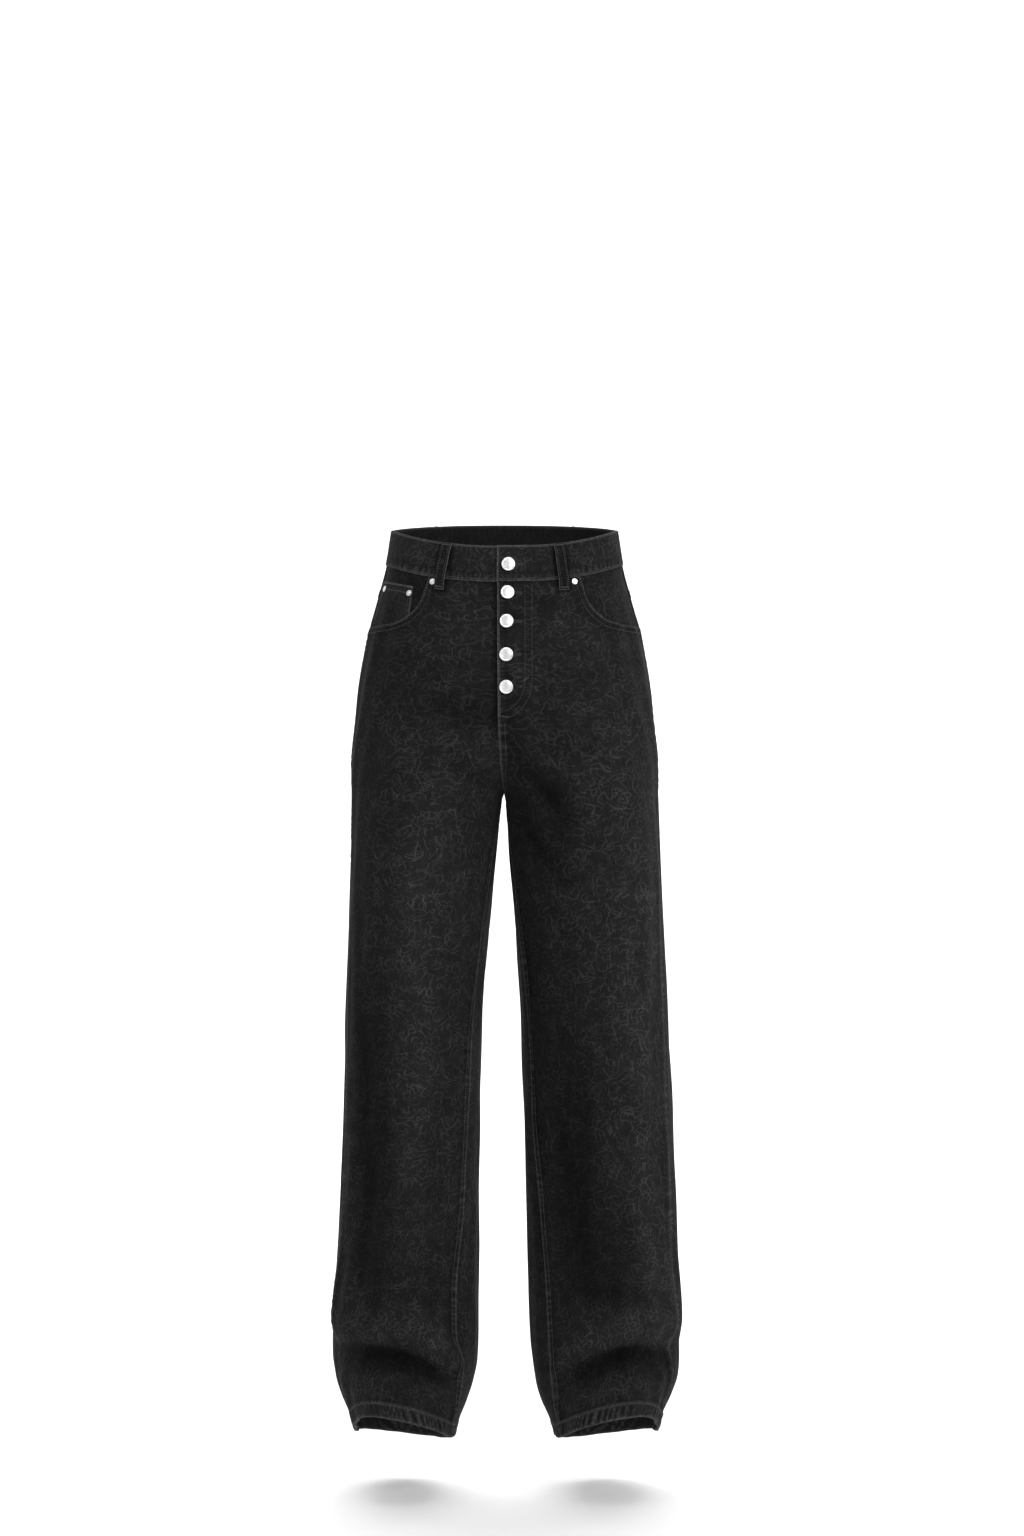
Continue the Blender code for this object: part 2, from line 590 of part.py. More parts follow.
def seam_inset(side, level):
    """Angle by which a panel stops short of its outseam or inseam."""
    slack = 1.0 + INSET_SLACK * smooth_share(level, SLACK_FROM, SLACK_FULL)
    return arc_angle(side, level, 0.5 * SEAM_GAP * slack)


def arc_angle(side, level, distance):
    """Angle that stands for a distance along a ring near its sides."""
    return np.degrees(distance / LEG_HALF[side](level))


# --------------------------------------------------------------- making the solids
def make_material(name, colour, roughness, metallic):
    """A plain material."""
    material = bpy.data.materials.new(name)
    material.use_nodes = True
    shader = material.node_tree.nodes["Principled BSDF"]
    shader.inputs["Base Color"].default_value = (*colour, 1.0)
    shader.inputs["Roughness"].default_value = roughness
    shader.inputs["Metallic"].default_value = metallic
    return material


def link(obj, material):
    """Put an object in the collection with its material."""
    obj.data.materials.append(material)
    bpy.data.collections["wide_leg_jeans"].objects.link(obj)
    return obj


def cloth_wall(name, outer, inner, material):
    """A loft through rows of points on both faces of a cloth wall."""
    rows, columns = outer.shape[:2]
    bm = bmesh.new()
    front = [[bm.verts.new(p) for p in row] for row in outer]
    rear = [[bm.verts.new(p) for p in row] for row in inner]
    for i in range(rows - 1):
        for j in range(columns - 1):
            bm.faces.new((front[i][j], front[i][j + 1], front[i + 1][j + 1], front[i + 1][j]))
            bm.faces.new((rear[i][j], rear[i + 1][j], rear[i + 1][j + 1], rear[i][j + 1]))
    for j in range(columns - 1):
        bm.faces.new((front[0][j], rear[0][j], rear[0][j + 1], front[0][j + 1]))
        bm.faces.new((front[-1][j], front[-1][j + 1], rear[-1][j + 1], rear[-1][j]))
    for i in range(rows - 1):
        bm.faces.new((front[i][0], front[i + 1][0], rear[i + 1][0], rear[i][0]))
        bm.faces.new((front[i][-1], rear[i][-1], rear[i + 1][-1], front[i + 1][-1]))
    bmesh.ops.recalc_face_normals(bm, faces=bm.faces)
    mesh = bpy.data.meshes.new(name)
    bm.to_mesh(mesh)
    bm.free()
    mesh.shade_smooth()
    mesh.set_sharp_from_angle(angle=math.radians(SHARP_ANGLE))
    return link(bpy.data.objects.new(name, mesh), material)


def turned_piece(name, profile, steps, point, normal, material):
    """A turned piece: a profile with a Screw modifier, set on the cloth."""
    bm = bmesh.new()
    verts = [bm.verts.new((radius, 0.0, height)) for radius, height in profile]
    for a, b in zip(verts[:-1], verts[1:]):
        bm.edges.new((a, b))
    mesh = bpy.data.meshes.new(name)
    bm.to_mesh(mesh)
    bm.free()
    obj = link(bpy.data.objects.new(name, mesh), material)
    screw = obj.modifiers.new("turn", "SCREW")
    screw.steps = steps
    screw.render_steps = steps
    screw.use_merge_vertices = True
    screw.merge_threshold = MERGE_DISTANCE
    screw.use_smooth_shade = True
    obj.location = point
    obj.rotation_mode = "QUATERNION"
    obj.rotation_quaternion = Vector(normal).to_track_quat("Z", "Y")
    return obj


# ------------------------------------------------------------------- the garment
def panel_levels():
    """Levels of the rows of a panel, from the waistband seam to the hem's edge."""
    hem_top = HEM_LEVEL + HEM_DEPTH
    hem = [hem_top + HEM_STEP, hem_top, 0.5 * (hem_top + HEM_LEVEL), HEM_LEVEL]
    return np.array([BAND_BOTTOM - 0.5 * SEAM_GAP] + HIP_LEVELS + LEG_LEVELS + hem)


def wall_at(level):
    """Thickness of the wall: the hem is turned up twice."""
    return np.where(level <= HEM_LEVEL + HEM_DEPTH + ROUNDING, HEM_WALL, CLOTH)


def scoop_spots(side, share):
    """Angles and levels along the pocket mouth, from the side to the waistband."""
    spots = [place_on(side, side * p.x, p.z) for p in reversed(SCOOP_POINTS)]
    angles = np.array([float(s[0]) for s in spots])
    levels = np.array([float(s[1]) for s in spots])
    angles[0] = OUTSEAM[side](levels[0])
    levels[-1] = BAND_BOTTOM - 0.5 * SEAM_GAP
    around = np.diff(angles) * METRES_A_DEGREE
    length = np.concatenate([[0.0], np.cumsum(np.hypot(around, np.diff(levels)))])
    run = length / length[-1]
    return smooth_curve(run, angles)(share), smooth_curve(run, levels)(share)


def lap_lift(x, level):
    """How far the left front stands off over the button stand."""
    across = smooth_share(x, LIFT_ZERO_X, LIFT_FULL_X)
    down = smooth_share(level, FLY_LIFT_END, STAND_END)
    return FLY_LIFT * across * down


def right_front_edge(level):
    """x of the right front's inner edge, tucked under the lap above its end."""
    tuck = TUCK * smooth_share(level, FLY_END + TUCK_ZERO, FLY_END + TUCK_FULL)
    return LAP_X(level) + tuck - 0.5 * SEAM_GAP


def front_inner_edge(side, level):
    """Angle of the front's inner edge: the lap, the rise, then the inseam."""
    edge_x = LAP_X(level) + 0.5 * SEAM_GAP if side == LEFT else right_front_edge(level)
    above = level > CROTCH_LEVEL
    rise = front_edge_angle(side, np.where(above, level, CROTCH_LEVEL + CROTCH_STEP), edge_x)
    return np.where(above, rise, INSEAM[side](level) - seam_inset(side, level))


def fly_shares(side, level):
    """Shares of the columns that carry the lap's lift."""
    outer = OUTSEAM[side](level)
    inner = front_inner_edge(side, level)
    angles = np.stack([angle_at_x(side, level, x) for x in FLY_COLUMNS], axis=-1)
    shares = (angles - outer[..., None]) / (inner - outer)[..., None]
    return np.concatenate([shares, np.ones((len(level), 1))], axis=-1)


def column_shares(side, level):
    """Shares of all columns: close together at the fly, even down the leg."""
    even = np.linspace(0.0, 1.0, PANEL_COLUMNS)
    fly = fly_shares(side, np.maximum(level, FLY_LIFT_END))
    wide = fly[:, :1] * np.linspace(0.0, 1.0, PANEL_COLUMNS - fly.shape[1] + 1)
    near_fly = np.concatenate([wide, fly[:, 1:]], axis=1)
    mix = smooth_share(level, EVEN_LEVEL, FLY_LIFT_END)[:, None]
    return even + (near_fly - even) * mix


def front_grid(side):
    """Shares and levels of the front's points; a share runs from outseam to inner edge.

    The top row follows the pocket mouth and then the waistband seam, and the
    rows below it even out to level rings.
    """
    level = panel_levels()
    level = level[level < MOUTH_BOTTOM + ROUNDING]
    mouth_angle, mouth_level = scoop_spots(side, np.linspace(0.0, 1.0, MOUTH_COLUMNS))
    seam_level = BAND_BOTTOM - 0.5 * SEAM_GAP
    outseam = OUTSEAM[side](mouth_level)
    mouth_share = (mouth_angle - outseam) / (front_inner_edge(side, mouth_level) - outseam)
    fly = fly_shares(side, np.array([seam_level]))[0]
    seam_share = np.linspace(mouth_share[-1], fly[0], PANEL_COLUMNS - MOUTH_COLUMNS - len(fly) + 2)[1:-1]
    top_share = np.concatenate([mouth_share, seam_share, fly])
    top_level = np.concatenate([mouth_level, np.full(PANEL_COLUMNS - MOUTH_COLUMNS, seam_level)])
    mix = np.array(MOUTH_ROWS)[:, None]
    rest_share = column_shares(side, level)
    shares = top_share + (rest_share[0] - top_share) * mix
    levels = top_level + (level[0] - top_level) * mix
    rest = level[1:, None] + np.zeros(PANEL_COLUMNS)
    return np.concatenate([shares, rest_share[1:]]), np.concatenate([levels, rest])


def front_panel(side, material):
    """Front of one leg, from the waistband seam to the hem."""
    share, levels = front_grid(side)
    gap = seam_inset(side, levels) * np.where(levels < SIDE_TOP, 1.0, 0.0)
    outer = OUTSEAM[side](levels) + gap
    angle = outer + (front_inner_edge(side, levels) - outer) * share

    def place(a, l):
        high = l > CROTCH_LEVEL + CROTCH_STEP
        joined = over_centre(side, a, np.maximum(l, CROTCH_LEVEL + CROTCH_STEP))
        return np.where(high[..., None], joined, surface(side, a, l))

    lift = lap_lift(place(angle, levels)[..., 0], levels) if side == LEFT else np.zeros(angle.shape)
    face = offset_from(side, place, angle, levels, lift)
    back = offset_from(side, place, angle, levels, lift - wall_at(levels))
    name = "front_left" if side == LEFT else "front_right"
    return cloth_wall(name, face, back, material)


def back_grid(side, level, top_drop):
    """Angles and levels of a back piece whose top edge slopes to the centre."""
    share = np.linspace(0.0, 1.0, PANEL_COLUMNS)
    levels = level[:, None] + top_drop(level)[:, None] * share
    above = levels > CROTCH_LEVEL
    centre = CENTRE[side, BACK](levels)
    gap = seam_inset(side, levels)
    inner = np.where(above, centre, INSEAM[side](levels) - 360.0) + gap
    outer = OUTSEAM[side](levels) - gap
    return outer + (inner - outer) * share, levels


def back_panel(side, material):
    """Back of one leg, from the yoke seam to the hem."""
    top = YOKE_SIDE - 0.5 * SEAM_GAP
    level = panel_levels()
    level = np.concatenate([[top], level[level < top - ROW_GAP]])

    def drop(rows):
        return -YOKE_CENTRE_DROP * np.clip(1.0 - (top - rows) / YOKE_FADE, 0.0, 1.0)

    angle, levels = back_grid(side, level, drop)

    def place(a, l):
        return surface(side, a, l)

    face = offset_from(side, place, angle, levels, np.zeros(angle.shape))
    back = offset_from(side, place, angle, levels, -wall_at(levels))
    name = "back_left" if side == LEFT else "back_right"
    return cloth_wall(name, face, back, material)


def yoke(side, material):
    """The yoke between the waistband and the back."""
    high = BAND_BOTTOM - 0.5 * SEAM_GAP
    low = YOKE_SIDE + 0.5 * SEAM_GAP
    level = np.linspace(high, low, YOKE_ROWS)

    def drop(rows):
        return -YOKE_CENTRE_DROP * (high - rows) / (high - low)

    angle, levels = back_grid(side, level, drop)

    def place(a, l):
        return surface(side, a, l)

    face = offset_from(side, place, angle, levels, np.zeros(angle.shape))
    back = offset_from(side, place, angle, levels, np.full(angle.shape, -CLOTH))
    name = "yoke_left" if side == LEFT else "yoke_right"
    return cloth_wall(name, face, back, material)


def facing_depth(side, angle, level):
    """How far the pocket facing lies below the front's face."""
    from_seam = np.radians(angle - OUTSEAM[side](level)) * SIDE_RADIUS
    from_band = BAND_BOTTOM - level
    ramp = smooth_share(from_seam, 0.0, FACING_RAMP) * smooth_share(from_band, 0.0, FACING_RAMP)
    return FACING_EDGE_DEPTH + (FACING_DEPTH - FACING_EDGE_DEPTH) * ramp


def pocket_facing(side, material):
    """The piece of denim that shows inside the scooped pocket mouth."""
    top_rows = BAND_BOTTOM - 0.5 * SEAM_GAP - np.array(FACING_ROWS)
    low_rows = np.linspace(top_rows[-1], FACING_BOTTOM, FACING_LOW_ROWS + 1)[1:]
    level = np.concatenate([top_rows, low_rows])
    outer = OUTSEAM[side](level) + arc_angle(side, level, 0.5 * SEAM_GAP)
    inner = angle_at_x(side, level, FACING_INNER_X)
    angle = outer[:, None] + (inner - outer)[:, None] * np.array(FACING_SHARES)
    levels = np.repeat(level[:, None], len(FACING_SHARES), axis=1)

    def place(a, l):
        return surface(side, a, l)

    depth = facing_depth(side, angle, levels)
    face = offset_from(side, place, angle, levels, -depth)
    back = offset_from(side, place, angle, levels, -depth - CLOTH)
    name = "facing_left" if side == LEFT else "facing_right"
    return cloth_wall(name, face, back, material)


def coin_pocket(material):
    """The small pocket on the wearer's right facing."""
    rows = np.linspace(0.0, 1.0, COIN_POINTS)[:, None]
    share = np.linspace(0.0, 1.0, COIN_POINTS)[None, :]
    top = COIN_TOP_OUTER + (COIN_TOP_INNER - COIN_TOP_OUTER) * share
    levels = top + (COIN_FOOT - top) * rows
    inner_x = COIN_INNER_TOP_X + (COIN_INNER_FOOT_X - COIN_INNER_TOP_X) * rows
    first = OUTSEAM[RIGHT](levels) + arc_angle(RIGHT, levels, COIN_FROM_SEAM)
    last = angle_at_x(RIGHT, levels, np.repeat(inner_x, COIN_POINTS, axis=1))
    angle = first + (last - first) * share

    def place(a, l):
        return surface(RIGHT, a, l)

    depth = facing_depth(RIGHT, angle, levels)
    back = offset_from(RIGHT, place, angle, levels, COIN_GAP - depth)
    face = offset_from(RIGHT, place, angle, levels, COIN_GAP + CLOTH - depth)
    return cloth_wall("coin_pocket", face, back, material)


def back_pocket(side, material):
    """A patch pocket with a pointed foot, laid on the back."""
    across = np.linspace(-1.0, 1.0, POCKET_COLUMNS)
    point = (POCKET_POINT_HEIGHT - POCKET_SIDE_HEIGHT) * (1.0 - np.abs(across))
    foot = POCKET_TOP - POCKET_SIDE_HEIGHT - point
    inside = [row for row in HIP_LEVELS if POCKET_TOP - ROW_GAP > row > foot.max() + ROW_GAP]
    level = np.array([POCKET_TOP] + inside)[:, None] + np.zeros(len(across))
    level = np.vstack([level, foot])
    down = (POCKET_TOP - level) / POCKET_POINT_HEIGHT
    half = POCKET_TOP_HALF + (POCKET_LOW_HALF - POCKET_TOP_HALF) * down
    angle = angle_at_arc(side, level, POCKET_MIDDLE + half * across)

    def place(a, l):
        return surface(side, a, l)

    back = offset_from(side, place, angle, level, np.full(level.shape, LAID_GAP))
    face = offset_from(side, place, angle, level, np.full(level.shape, LAID_GAP + CLOTH))
    name = "back_pocket_left" if side == LEFT else "back_pocket_right"
    return cloth_wall(name, face, back, material)


def button_stand(material):
    """The strip under the lap that carries the buttons."""
    level = np.linspace(BAND_BOTTOM - 0.5 * SEAM_GAP, STAND_END, STAND_ROWS)
    start = front_edge_angle(LEFT, level, np.full(level.shape, UNDERLAP_X))
    end = front_edge_angle(LEFT, level, right_front_edge(level) + SEAM_GAP)
    share = np.linspace(0.0, 1.0, STAND_COLUMNS)
    angle = start[:, None] + (end - start)[:, None] * share
    levels = np.repeat(level[:, None], len(share), axis=1)

    def place(a, l):
        return over_centre(LEFT, a, l)

    face = offset_from(LEFT, place, angle, levels, np.zeros(angle.shape))
    back = offset_from(LEFT, place, angle, levels, np.full(angle.shape, -CLOTH))
    return cloth_wall("button_stand", face, back, material)


def band_point(turn, level):
    """Outer face of the hips at a turn in degrees round the body.

    0 is centre front and the turn grows toward the wearer's right.
    """
    across = np.sin(np.radians(turn))
    ahead = np.cos(np.radians(turn))
    reach = hip_reach(level, 0.0, 0.0, across, ahead)
    v = reach * ahead
    return np.stack([-reach * across, -v, level + waist_tilt(level, v)], axis=-1)


def band_turn_at_x(x, level):
    """Turn, near centre front, of the waistband's point with this x."""
    low = -60.0
    high = 60.0
    for _ in range(40):
        middle = 0.5 * (low + high)
        if band_point(np.array(middle), np.array(level))[0] > x:
            low = middle
        else:
            high = middle
    return 0.5 * (low + high)


def waistband(material):
    """One open strip round the waist whose left end laps over the right."""
    low = BAND_BOTTOM + 0.5 * SEAM_GAP
    level = np.array([BAND_TOP, 0.5 * (BAND_TOP + low), low])
    first = band_turn_at_x(UNDERLAP_X, 0.0)
    lap = 360.0 + np.array([band_turn_at_x(x, 0.0) for x in BAND_LAP_X])
    plain = np.linspace(first, lap[0] - BAND_STEP, BAND_COLUMNS)
    turn = np.concatenate([plain, lap])
    turns = np.repeat(turn[None, :], len(level), axis=0)
    levels = np.repeat(level[:, None], len(turn), axis=1)
    x = band_point(turns, levels)[..., 0]
    over_end = np.where(turns > OVER_END_TURN, 1.0, 0.0)
    lift = BAND_LIFT * over_end * smooth_share(x, LIFT_ZERO_X, LIFT_FULL_X)
    face = offset_from(1, band_point, turns, levels, BAND_PROUD + lift)
    back = offset_from(1, band_point, turns, levels, BAND_PROUD - BAND_WALL + lift)
    return cloth_wall("waistband", face, back, material)


def belt_loop(place_row, material):
    """A folded strip over the waistband, sewn at its top and its foot."""
    share = np.array(LOOP_SHARES)
    level = LOOP_TOP + (LOOP_BOTTOM - LOOP_TOP) * share
    x = place_row.x_top + (place_row.x_bottom - place_row.x_top) * share
    base = BAND_PROUD * smooth_share(level, LOOP_STEP_BOTTOM, LOOP_STEP_TOP)
    arch_top = smooth_share(share, 0.0, LOOP_ARCH_TOP)
    arch = LOOP_ARCH * arch_top * smooth_share(share, 1.0, LOOP_ARCH_BOTTOM)
    away = base + arch + LAID_GAP
    if place_row.face == FRONT:
        turn = np.array([band_turn_at_x(a, float(b)) for a, b in zip(x, level)])
    else:
        turn = 180.0 + np.degrees(np.arctan2(x, HIP_BACK(level)))
    middle = band_point(turn, level)
    outward = normals_of(band_point, turn, level)
    sideways = np.cross(outward, np.gradient(middle, axis=0))
    sideways = sideways / np.linalg.norm(sideways, axis=-1, keepdims=True)
    across = np.array([-0.5, 0.5])[None, :, None] * LOOP_WIDTH
    back = (middle + outward * away[:, None])[:, None, :] + sideways[:, None, :] * across
    face = back + outward[:, None, :] * LOOP_WALL
    return cloth_wall(place_row.name, face, back, material)


def button_profile():
    """Half section of a shank button's head, top to bottom."""
    r = BUTTON_RADIUS
    h = BUTTON_HEIGHT
    return [(0.0, 0.86 * h), (0.52 * r, 0.84 * h), (0.74 * r, 0.80 * h), (0.84 * r, h),
            (0.95 * r, 0.94 * h), (r, 0.74 * h), (0.93 * r, 0.48 * h), (0.40 * r, 0.40 * h),
            (0.40 * r, 0.0), (0.0, 0.0)]


def rivet_profile():
    """Half section of a rivet with a raised stud."""
    r = RIVET_RADIUS
    h = RIVET_HEIGHT
    return [(0.0, h), (0.34 * r, 0.95 * h), (0.44 * r, 0.50 * h), (0.80 * r, 0.58 * h),
            (r, 0.30 * h), (r, 0.0), (0.0, 0.0)]


def set_buttons(metal):
    """Buttons through the lap, each just clear of the cloth."""
    for spot in BUTTONS:
        on_band = spot.name == "waist_button"
        if on_band:
            level = np.array(spot.z + WAIST_DIP_FRONT)
            turn = np.array(band_turn_at_x(spot.x, float(level)))
            point = band_point(turn, level)
            outward = normals_of(band_point, turn, level)
            lift = BAND_PROUD + BAND_LIFT
        else:
            angle, level = place_on(LEFT, spot.x, spot.z)
            point = surface(LEFT, angle, level)
            outward = normals_of(lambda a, l: surface(LEFT, a, l), angle, level) * LEFT
            lift = FLY_LIFT
        seat = point + outward * (lift + SEAM_GAP)
        turned_piece(spot.name, button_profile(), BUTTON_STEPS, seat, outward, metal)


def set_rivets(metal):
    """Rivets at the pocket corners."""
    for spot in RIVETS:
        side = RIGHT if spot.x < 0.0 else LEFT
        angle, level = place_on(side, spot.x, spot.z)
        point = surface(side, angle, level)
        outward = normals_of(lambda a, l: surface(side, a, l), angle, level) * side
        lift = 0.0
        if spot.on == "coin":
            lift = COIN_GAP + CLOTH - float(facing_depth(side, angle, level))
        seat = point + outward * (lift + SEAM_GAP)
        turned_piece(spot.name, rivet_profile(), RIVET_STEPS, seat, outward, metal)


def clear_scene():
    """Start from an empty file."""
    for obj in list(bpy.data.objects):
        bpy.data.objects.remove(obj, do_unlink=True)


def main():
    """Make every piece of the garment."""
    clear_scene()
    collection = bpy.data.collections.new("wide_leg_jeans")
    bpy.context.scene.collection.children.link(collection)
    denim = make_material("denim", (0.018, 0.018, 0.020), 0.90, 0.0)
    metal = make_material("polished_metal", (0.80, 0.80, 0.80), 0.25, 1.0)
    for side in (RIGHT, LEFT):
        front_panel(side, denim)
        back_panel(side, denim)
        yoke(side, denim)
        pocket_facing(side, denim)
        back_pocket(side, denim)
    coin_pocket(denim)
    button_stand(denim)
    waistband(denim)
    for row in LOOPS:
        belt_loop(row, denim)
    set_buttons(metal)
    set_rivets(metal)


main()
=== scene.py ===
"""Wide leg jeans in washed black denim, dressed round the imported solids.

Metres, +Z up.  The front faces -Y and the wearer's right is at -X.  A "level"
is the height of a ring round the body before the waist dips and the hem rises.
An "angle" goes round one leg's axis in degrees: 0 outward, 90 to the front,
180 inward, -90 to the back.
"""

import logging  # noqa: E402
import math  # noqa: E402
from dataclasses import dataclass, field  # noqa: E402
from enum import Enum, IntEnum  # noqa: E402
from typing import Callable, NamedTuple, Optional, Sequence  # noqa: E402

import bpy  # noqa: E402
import numpy as np  # noqa: E402
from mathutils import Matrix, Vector  # noqa: E402


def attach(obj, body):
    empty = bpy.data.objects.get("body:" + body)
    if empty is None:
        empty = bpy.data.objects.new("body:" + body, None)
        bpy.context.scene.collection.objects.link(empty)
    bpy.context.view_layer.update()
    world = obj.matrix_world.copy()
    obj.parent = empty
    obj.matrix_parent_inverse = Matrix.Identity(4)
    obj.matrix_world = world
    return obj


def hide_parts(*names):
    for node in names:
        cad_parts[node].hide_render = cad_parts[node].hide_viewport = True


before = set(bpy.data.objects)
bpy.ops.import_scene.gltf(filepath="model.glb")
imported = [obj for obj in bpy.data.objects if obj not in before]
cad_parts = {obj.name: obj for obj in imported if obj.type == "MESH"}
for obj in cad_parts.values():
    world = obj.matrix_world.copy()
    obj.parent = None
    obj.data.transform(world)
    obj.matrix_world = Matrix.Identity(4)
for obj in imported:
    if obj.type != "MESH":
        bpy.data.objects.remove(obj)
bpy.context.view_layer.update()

LOG = logging.getLogger("jeans")
BODY = "root"
Array = np.ndarray
Pair = tuple[Array, Array]
Curve = Callable[[Array], Array]
Socket = bpy.types.NodeSocket
Material = bpy.types.Material
Thing = bpy.types.Object


class Side(IntEnum):
    """The wearer's right is at -X."""

    RIGHT = -1
    LEFT = 1


class Face(IntEnum):
    """Front or back of the body."""

    FRONT = 1
    BACK = -1


class Slot(Enum):
    """Material slots of the record."""

    DENIM = "black_denim"
    METAL = "polished_metal"


# ------------------------------------------------------------- small mathematics
def smooth(value: Array, zero_at: float, one_at: float) -> Array:
    """0 at zero_at, 1 at one_at, smooth between, held outside."""
    share = np.clip((value - zero_at) / (one_at - zero_at), 0.0, 1.0)
    return share * share * (3.0 - 2.0 * share)


def gentle(value: Array, zero_at: float, one_at: float) -> Array:
    """As smooth, with gentler ends."""
    share = np.clip((value - zero_at) / (one_at - zero_at), 0.0, 1.0)
    return share ** 3 * (share * (6.0 * share - 15.0) + 10.0)


def bell(value: Array, middle: float, width: float) -> Array:
    """A soft bump of height 1 round a middle."""
    return np.exp(-(((value - middle) / width) ** 2))


def mix(start: Array, end: Array, share: Array) -> Array:
    """From start at share 0 to end at share 1."""
    return start + (end - start) * share


def running_total(steps: Array) -> Array:
    """Distance from the first point, given the steps between points."""
    return np.concatenate([[0.0], np.cumsum(steps)])


def turning_point(near: Array, far: Array, keep: Callable, halvings: int) -> Array:
    """Where keep(value) turns from true, at near, to false, at far."""
    for _ in range(halvings):
        middle = 0.5 * (near + far)
        kept = keep(middle)
        near = np.where(kept, middle, near)
        far = np.where(kept, far, middle)
    return 0.5 * (near + far)


def curve_through(xs: Sequence[float], ys: Sequence[float]) -> Curve:
    """A smooth curve through points that never overshoots them.

    Args:
        xs: Places along the curve, rising or falling.
        ys: Values there.

    Returns:
        A function that reads the curve at an array of places.
    """
    order = np.argsort(xs)
    px = np.asarray(xs, float)[order]
    py = np.asarray(ys, float)[order]
    chord = np.diff(py) / np.diff(px)
    slope = np.empty(len(px))
    slope[0] = chord[0]
    slope[-1] = chord[-1]
    flat = chord[:-1] * chord[1:] <= 0.0
    total = chord[:-1] + chord[1:]
    slope[1:-1] = np.where(flat, 0.0, 2.0 * chord[:-1] * chord[1:] / np.where(flat, 1.0, total))

    def read(x: Array) -> Array:
        """The curve at x, held at its ends."""
        at = np.clip(x, px[0], px[-1])
        i = np.clip(np.searchsorted(px, at, side="right") - 1, 0, len(px) - 2)
        span = px[i + 1] - px[i]
        t = (at - px[i]) / span
        start = (1.0 + 2.0 * t) * (1.0 - t) ** 2 * py[i] + t * (1.0 - t) ** 2 * span * slope[i]
        end = t * t * (3.0 - 2.0 * t) * py[i + 1] + t * t * (t - 1.0) * span * slope[i + 1]
        return start + end

    return read


def unit(vectors: Array) -> Array:
    """Vectors made one long."""
    return vectors / np.maximum(np.linalg.norm(vectors, axis=-1, keepdims=True), 1e-12)


def pucker(run: Array, pitch: float, seed: float) -> Array:
    """Uneven waves along a seam, from -1 to 1.

    Args:
        run: Distance along the seam.
        pitch: Usual distance from one wave to the next.
        seed: Shifts the unevenness, so that no two seams match.

    Returns:
        The wave's height at each place.
    """
    wander = 0.55 * np.sin(run * 61.0 + seed * 2.3) + 0.35 * np.sin(run * 137.0 + seed * 5.1)
    swell = 0.65 + 0.35 * np.sin(run * 43.0 + seed * 3.7)
    return swell * np.sin(2.0 * math.pi * (run / pitch + wander) + seed)


# ------------------------------------------------------------- the worn form
class HipRing(NamedTuple):
    """One ring round the hips."""

    level: float
    half_width: float
    front: float
    back: float


class LegRing(NamedTuple):
    """One ring round each leg; girth is what the tape measures."""

    level: float
    right_x: float
    right_half: float
    left_x: float
    left_half: float
    girth: float
    back: float


class SeamRing(NamedTuple):
    """Angles of the outseam and the inseam round each leg."""

    level: float
    right_out: float
    right_in: float
    left_out: float
    left_in: float


class Fold(NamedTuple):
    """A soft ridge (height above zero) or hollow, as seen from front or back."""

    face: int
    x1: float
    z1: float
    x2: float
    z2: float
    width: float
    height: float


class Crescent(NamedTuple):
    """How the crescent of painted shade over one instep changes toward its outer end."""

    rise: float
    fade: float


class Patch(NamedTuple):
    """A soft patch of paler or darker cloth: partly wash fading, partly painted light and shade."""

    face: int
    x: float
    z: float
    half_x: float
    half_z: float
    amount: float


HIP_RINGS = (
    HipRing(0.027, 0.143, 0.104, 0.108),
    HipRing(-0.017, 0.150, 0.112, 0.114),
    HipRing(-0.060, 0.161, 0.121, 0.127),
    HipRing(-0.118, 0.176, 0.129, 0.143),
    HipRing(-0.180, 0.185, 0.131, 0.156),
    HipRing(-0.240, 0.190, 0.129, 0.160),
    HipRing(-0.320, 0.194, 0.124, 0.152),
)
LEG_RINGS = (
    LegRing(-0.0000, 0.0650, 0.1200, 0.0650, 0.1200, 0.800, 0.010),
    LegRing(-0.2000, 0.0840, 0.1150, 0.0840, 0.1150, 0.770, 0.011),
    LegRing(-0.2500, 0.0905, 0.1075, 0.0900, 0.1080, 0.740, 0.012),
    LegRing(-0.2850, 0.0955, 0.1005, 0.0950, 0.1010, 0.716, 0.012),
    LegRing(-0.3186, 0.0991, 0.0955, 0.0984, 0.0965, 0.697, 0.012),
    LegRing(-0.3795, 0.1029, 0.0921, 0.1016, 0.0959, 0.664, 0.011),
    LegRing(-0.4532, 0.1073, 0.0902, 0.1067, 0.0946, 0.630, 0.008),
    LegRing(-0.5751, 0.1143, 0.0870, 0.1137, 0.0940, 0.588, 0.004),
    LegRing(-0.6970, 0.1175, 0.0864, 0.1181, 0.0946, 0.562, 0.003),
    LegRing(-0.8190, 0.1207, 0.0883, 0.1226, 0.0953, 0.550, 0.006),
    LegRing(-0.9409, 0.1245, 0.0908, 0.1270, 0.0959, 0.540, 0.012),
    LegRing(-1.0018, 0.1264, 0.0927, 0.1289, 0.0953, 0.538, 0.016),
    LegRing(-1.0272, 0.1270, 0.0921, 0.1302, 0.0940, 0.536, 0.017),
    LegRing(-1.0526, 0.1276, 0.0876, 0.1308, 0.0908, 0.530, 0.018),
    LegRing(-1.0780, 0.1283, 0.0794, 0.1302, 0.0826, 0.520, 0.019),
    LegRing(-1.1034, 0.1283, 0.0692, 0.1302, 0.0711, 0.510, 0.020),
    LegRing(-1.1250, 0.1276, 0.0630, 0.1308, 0.0650, 0.505, 0.020),
)
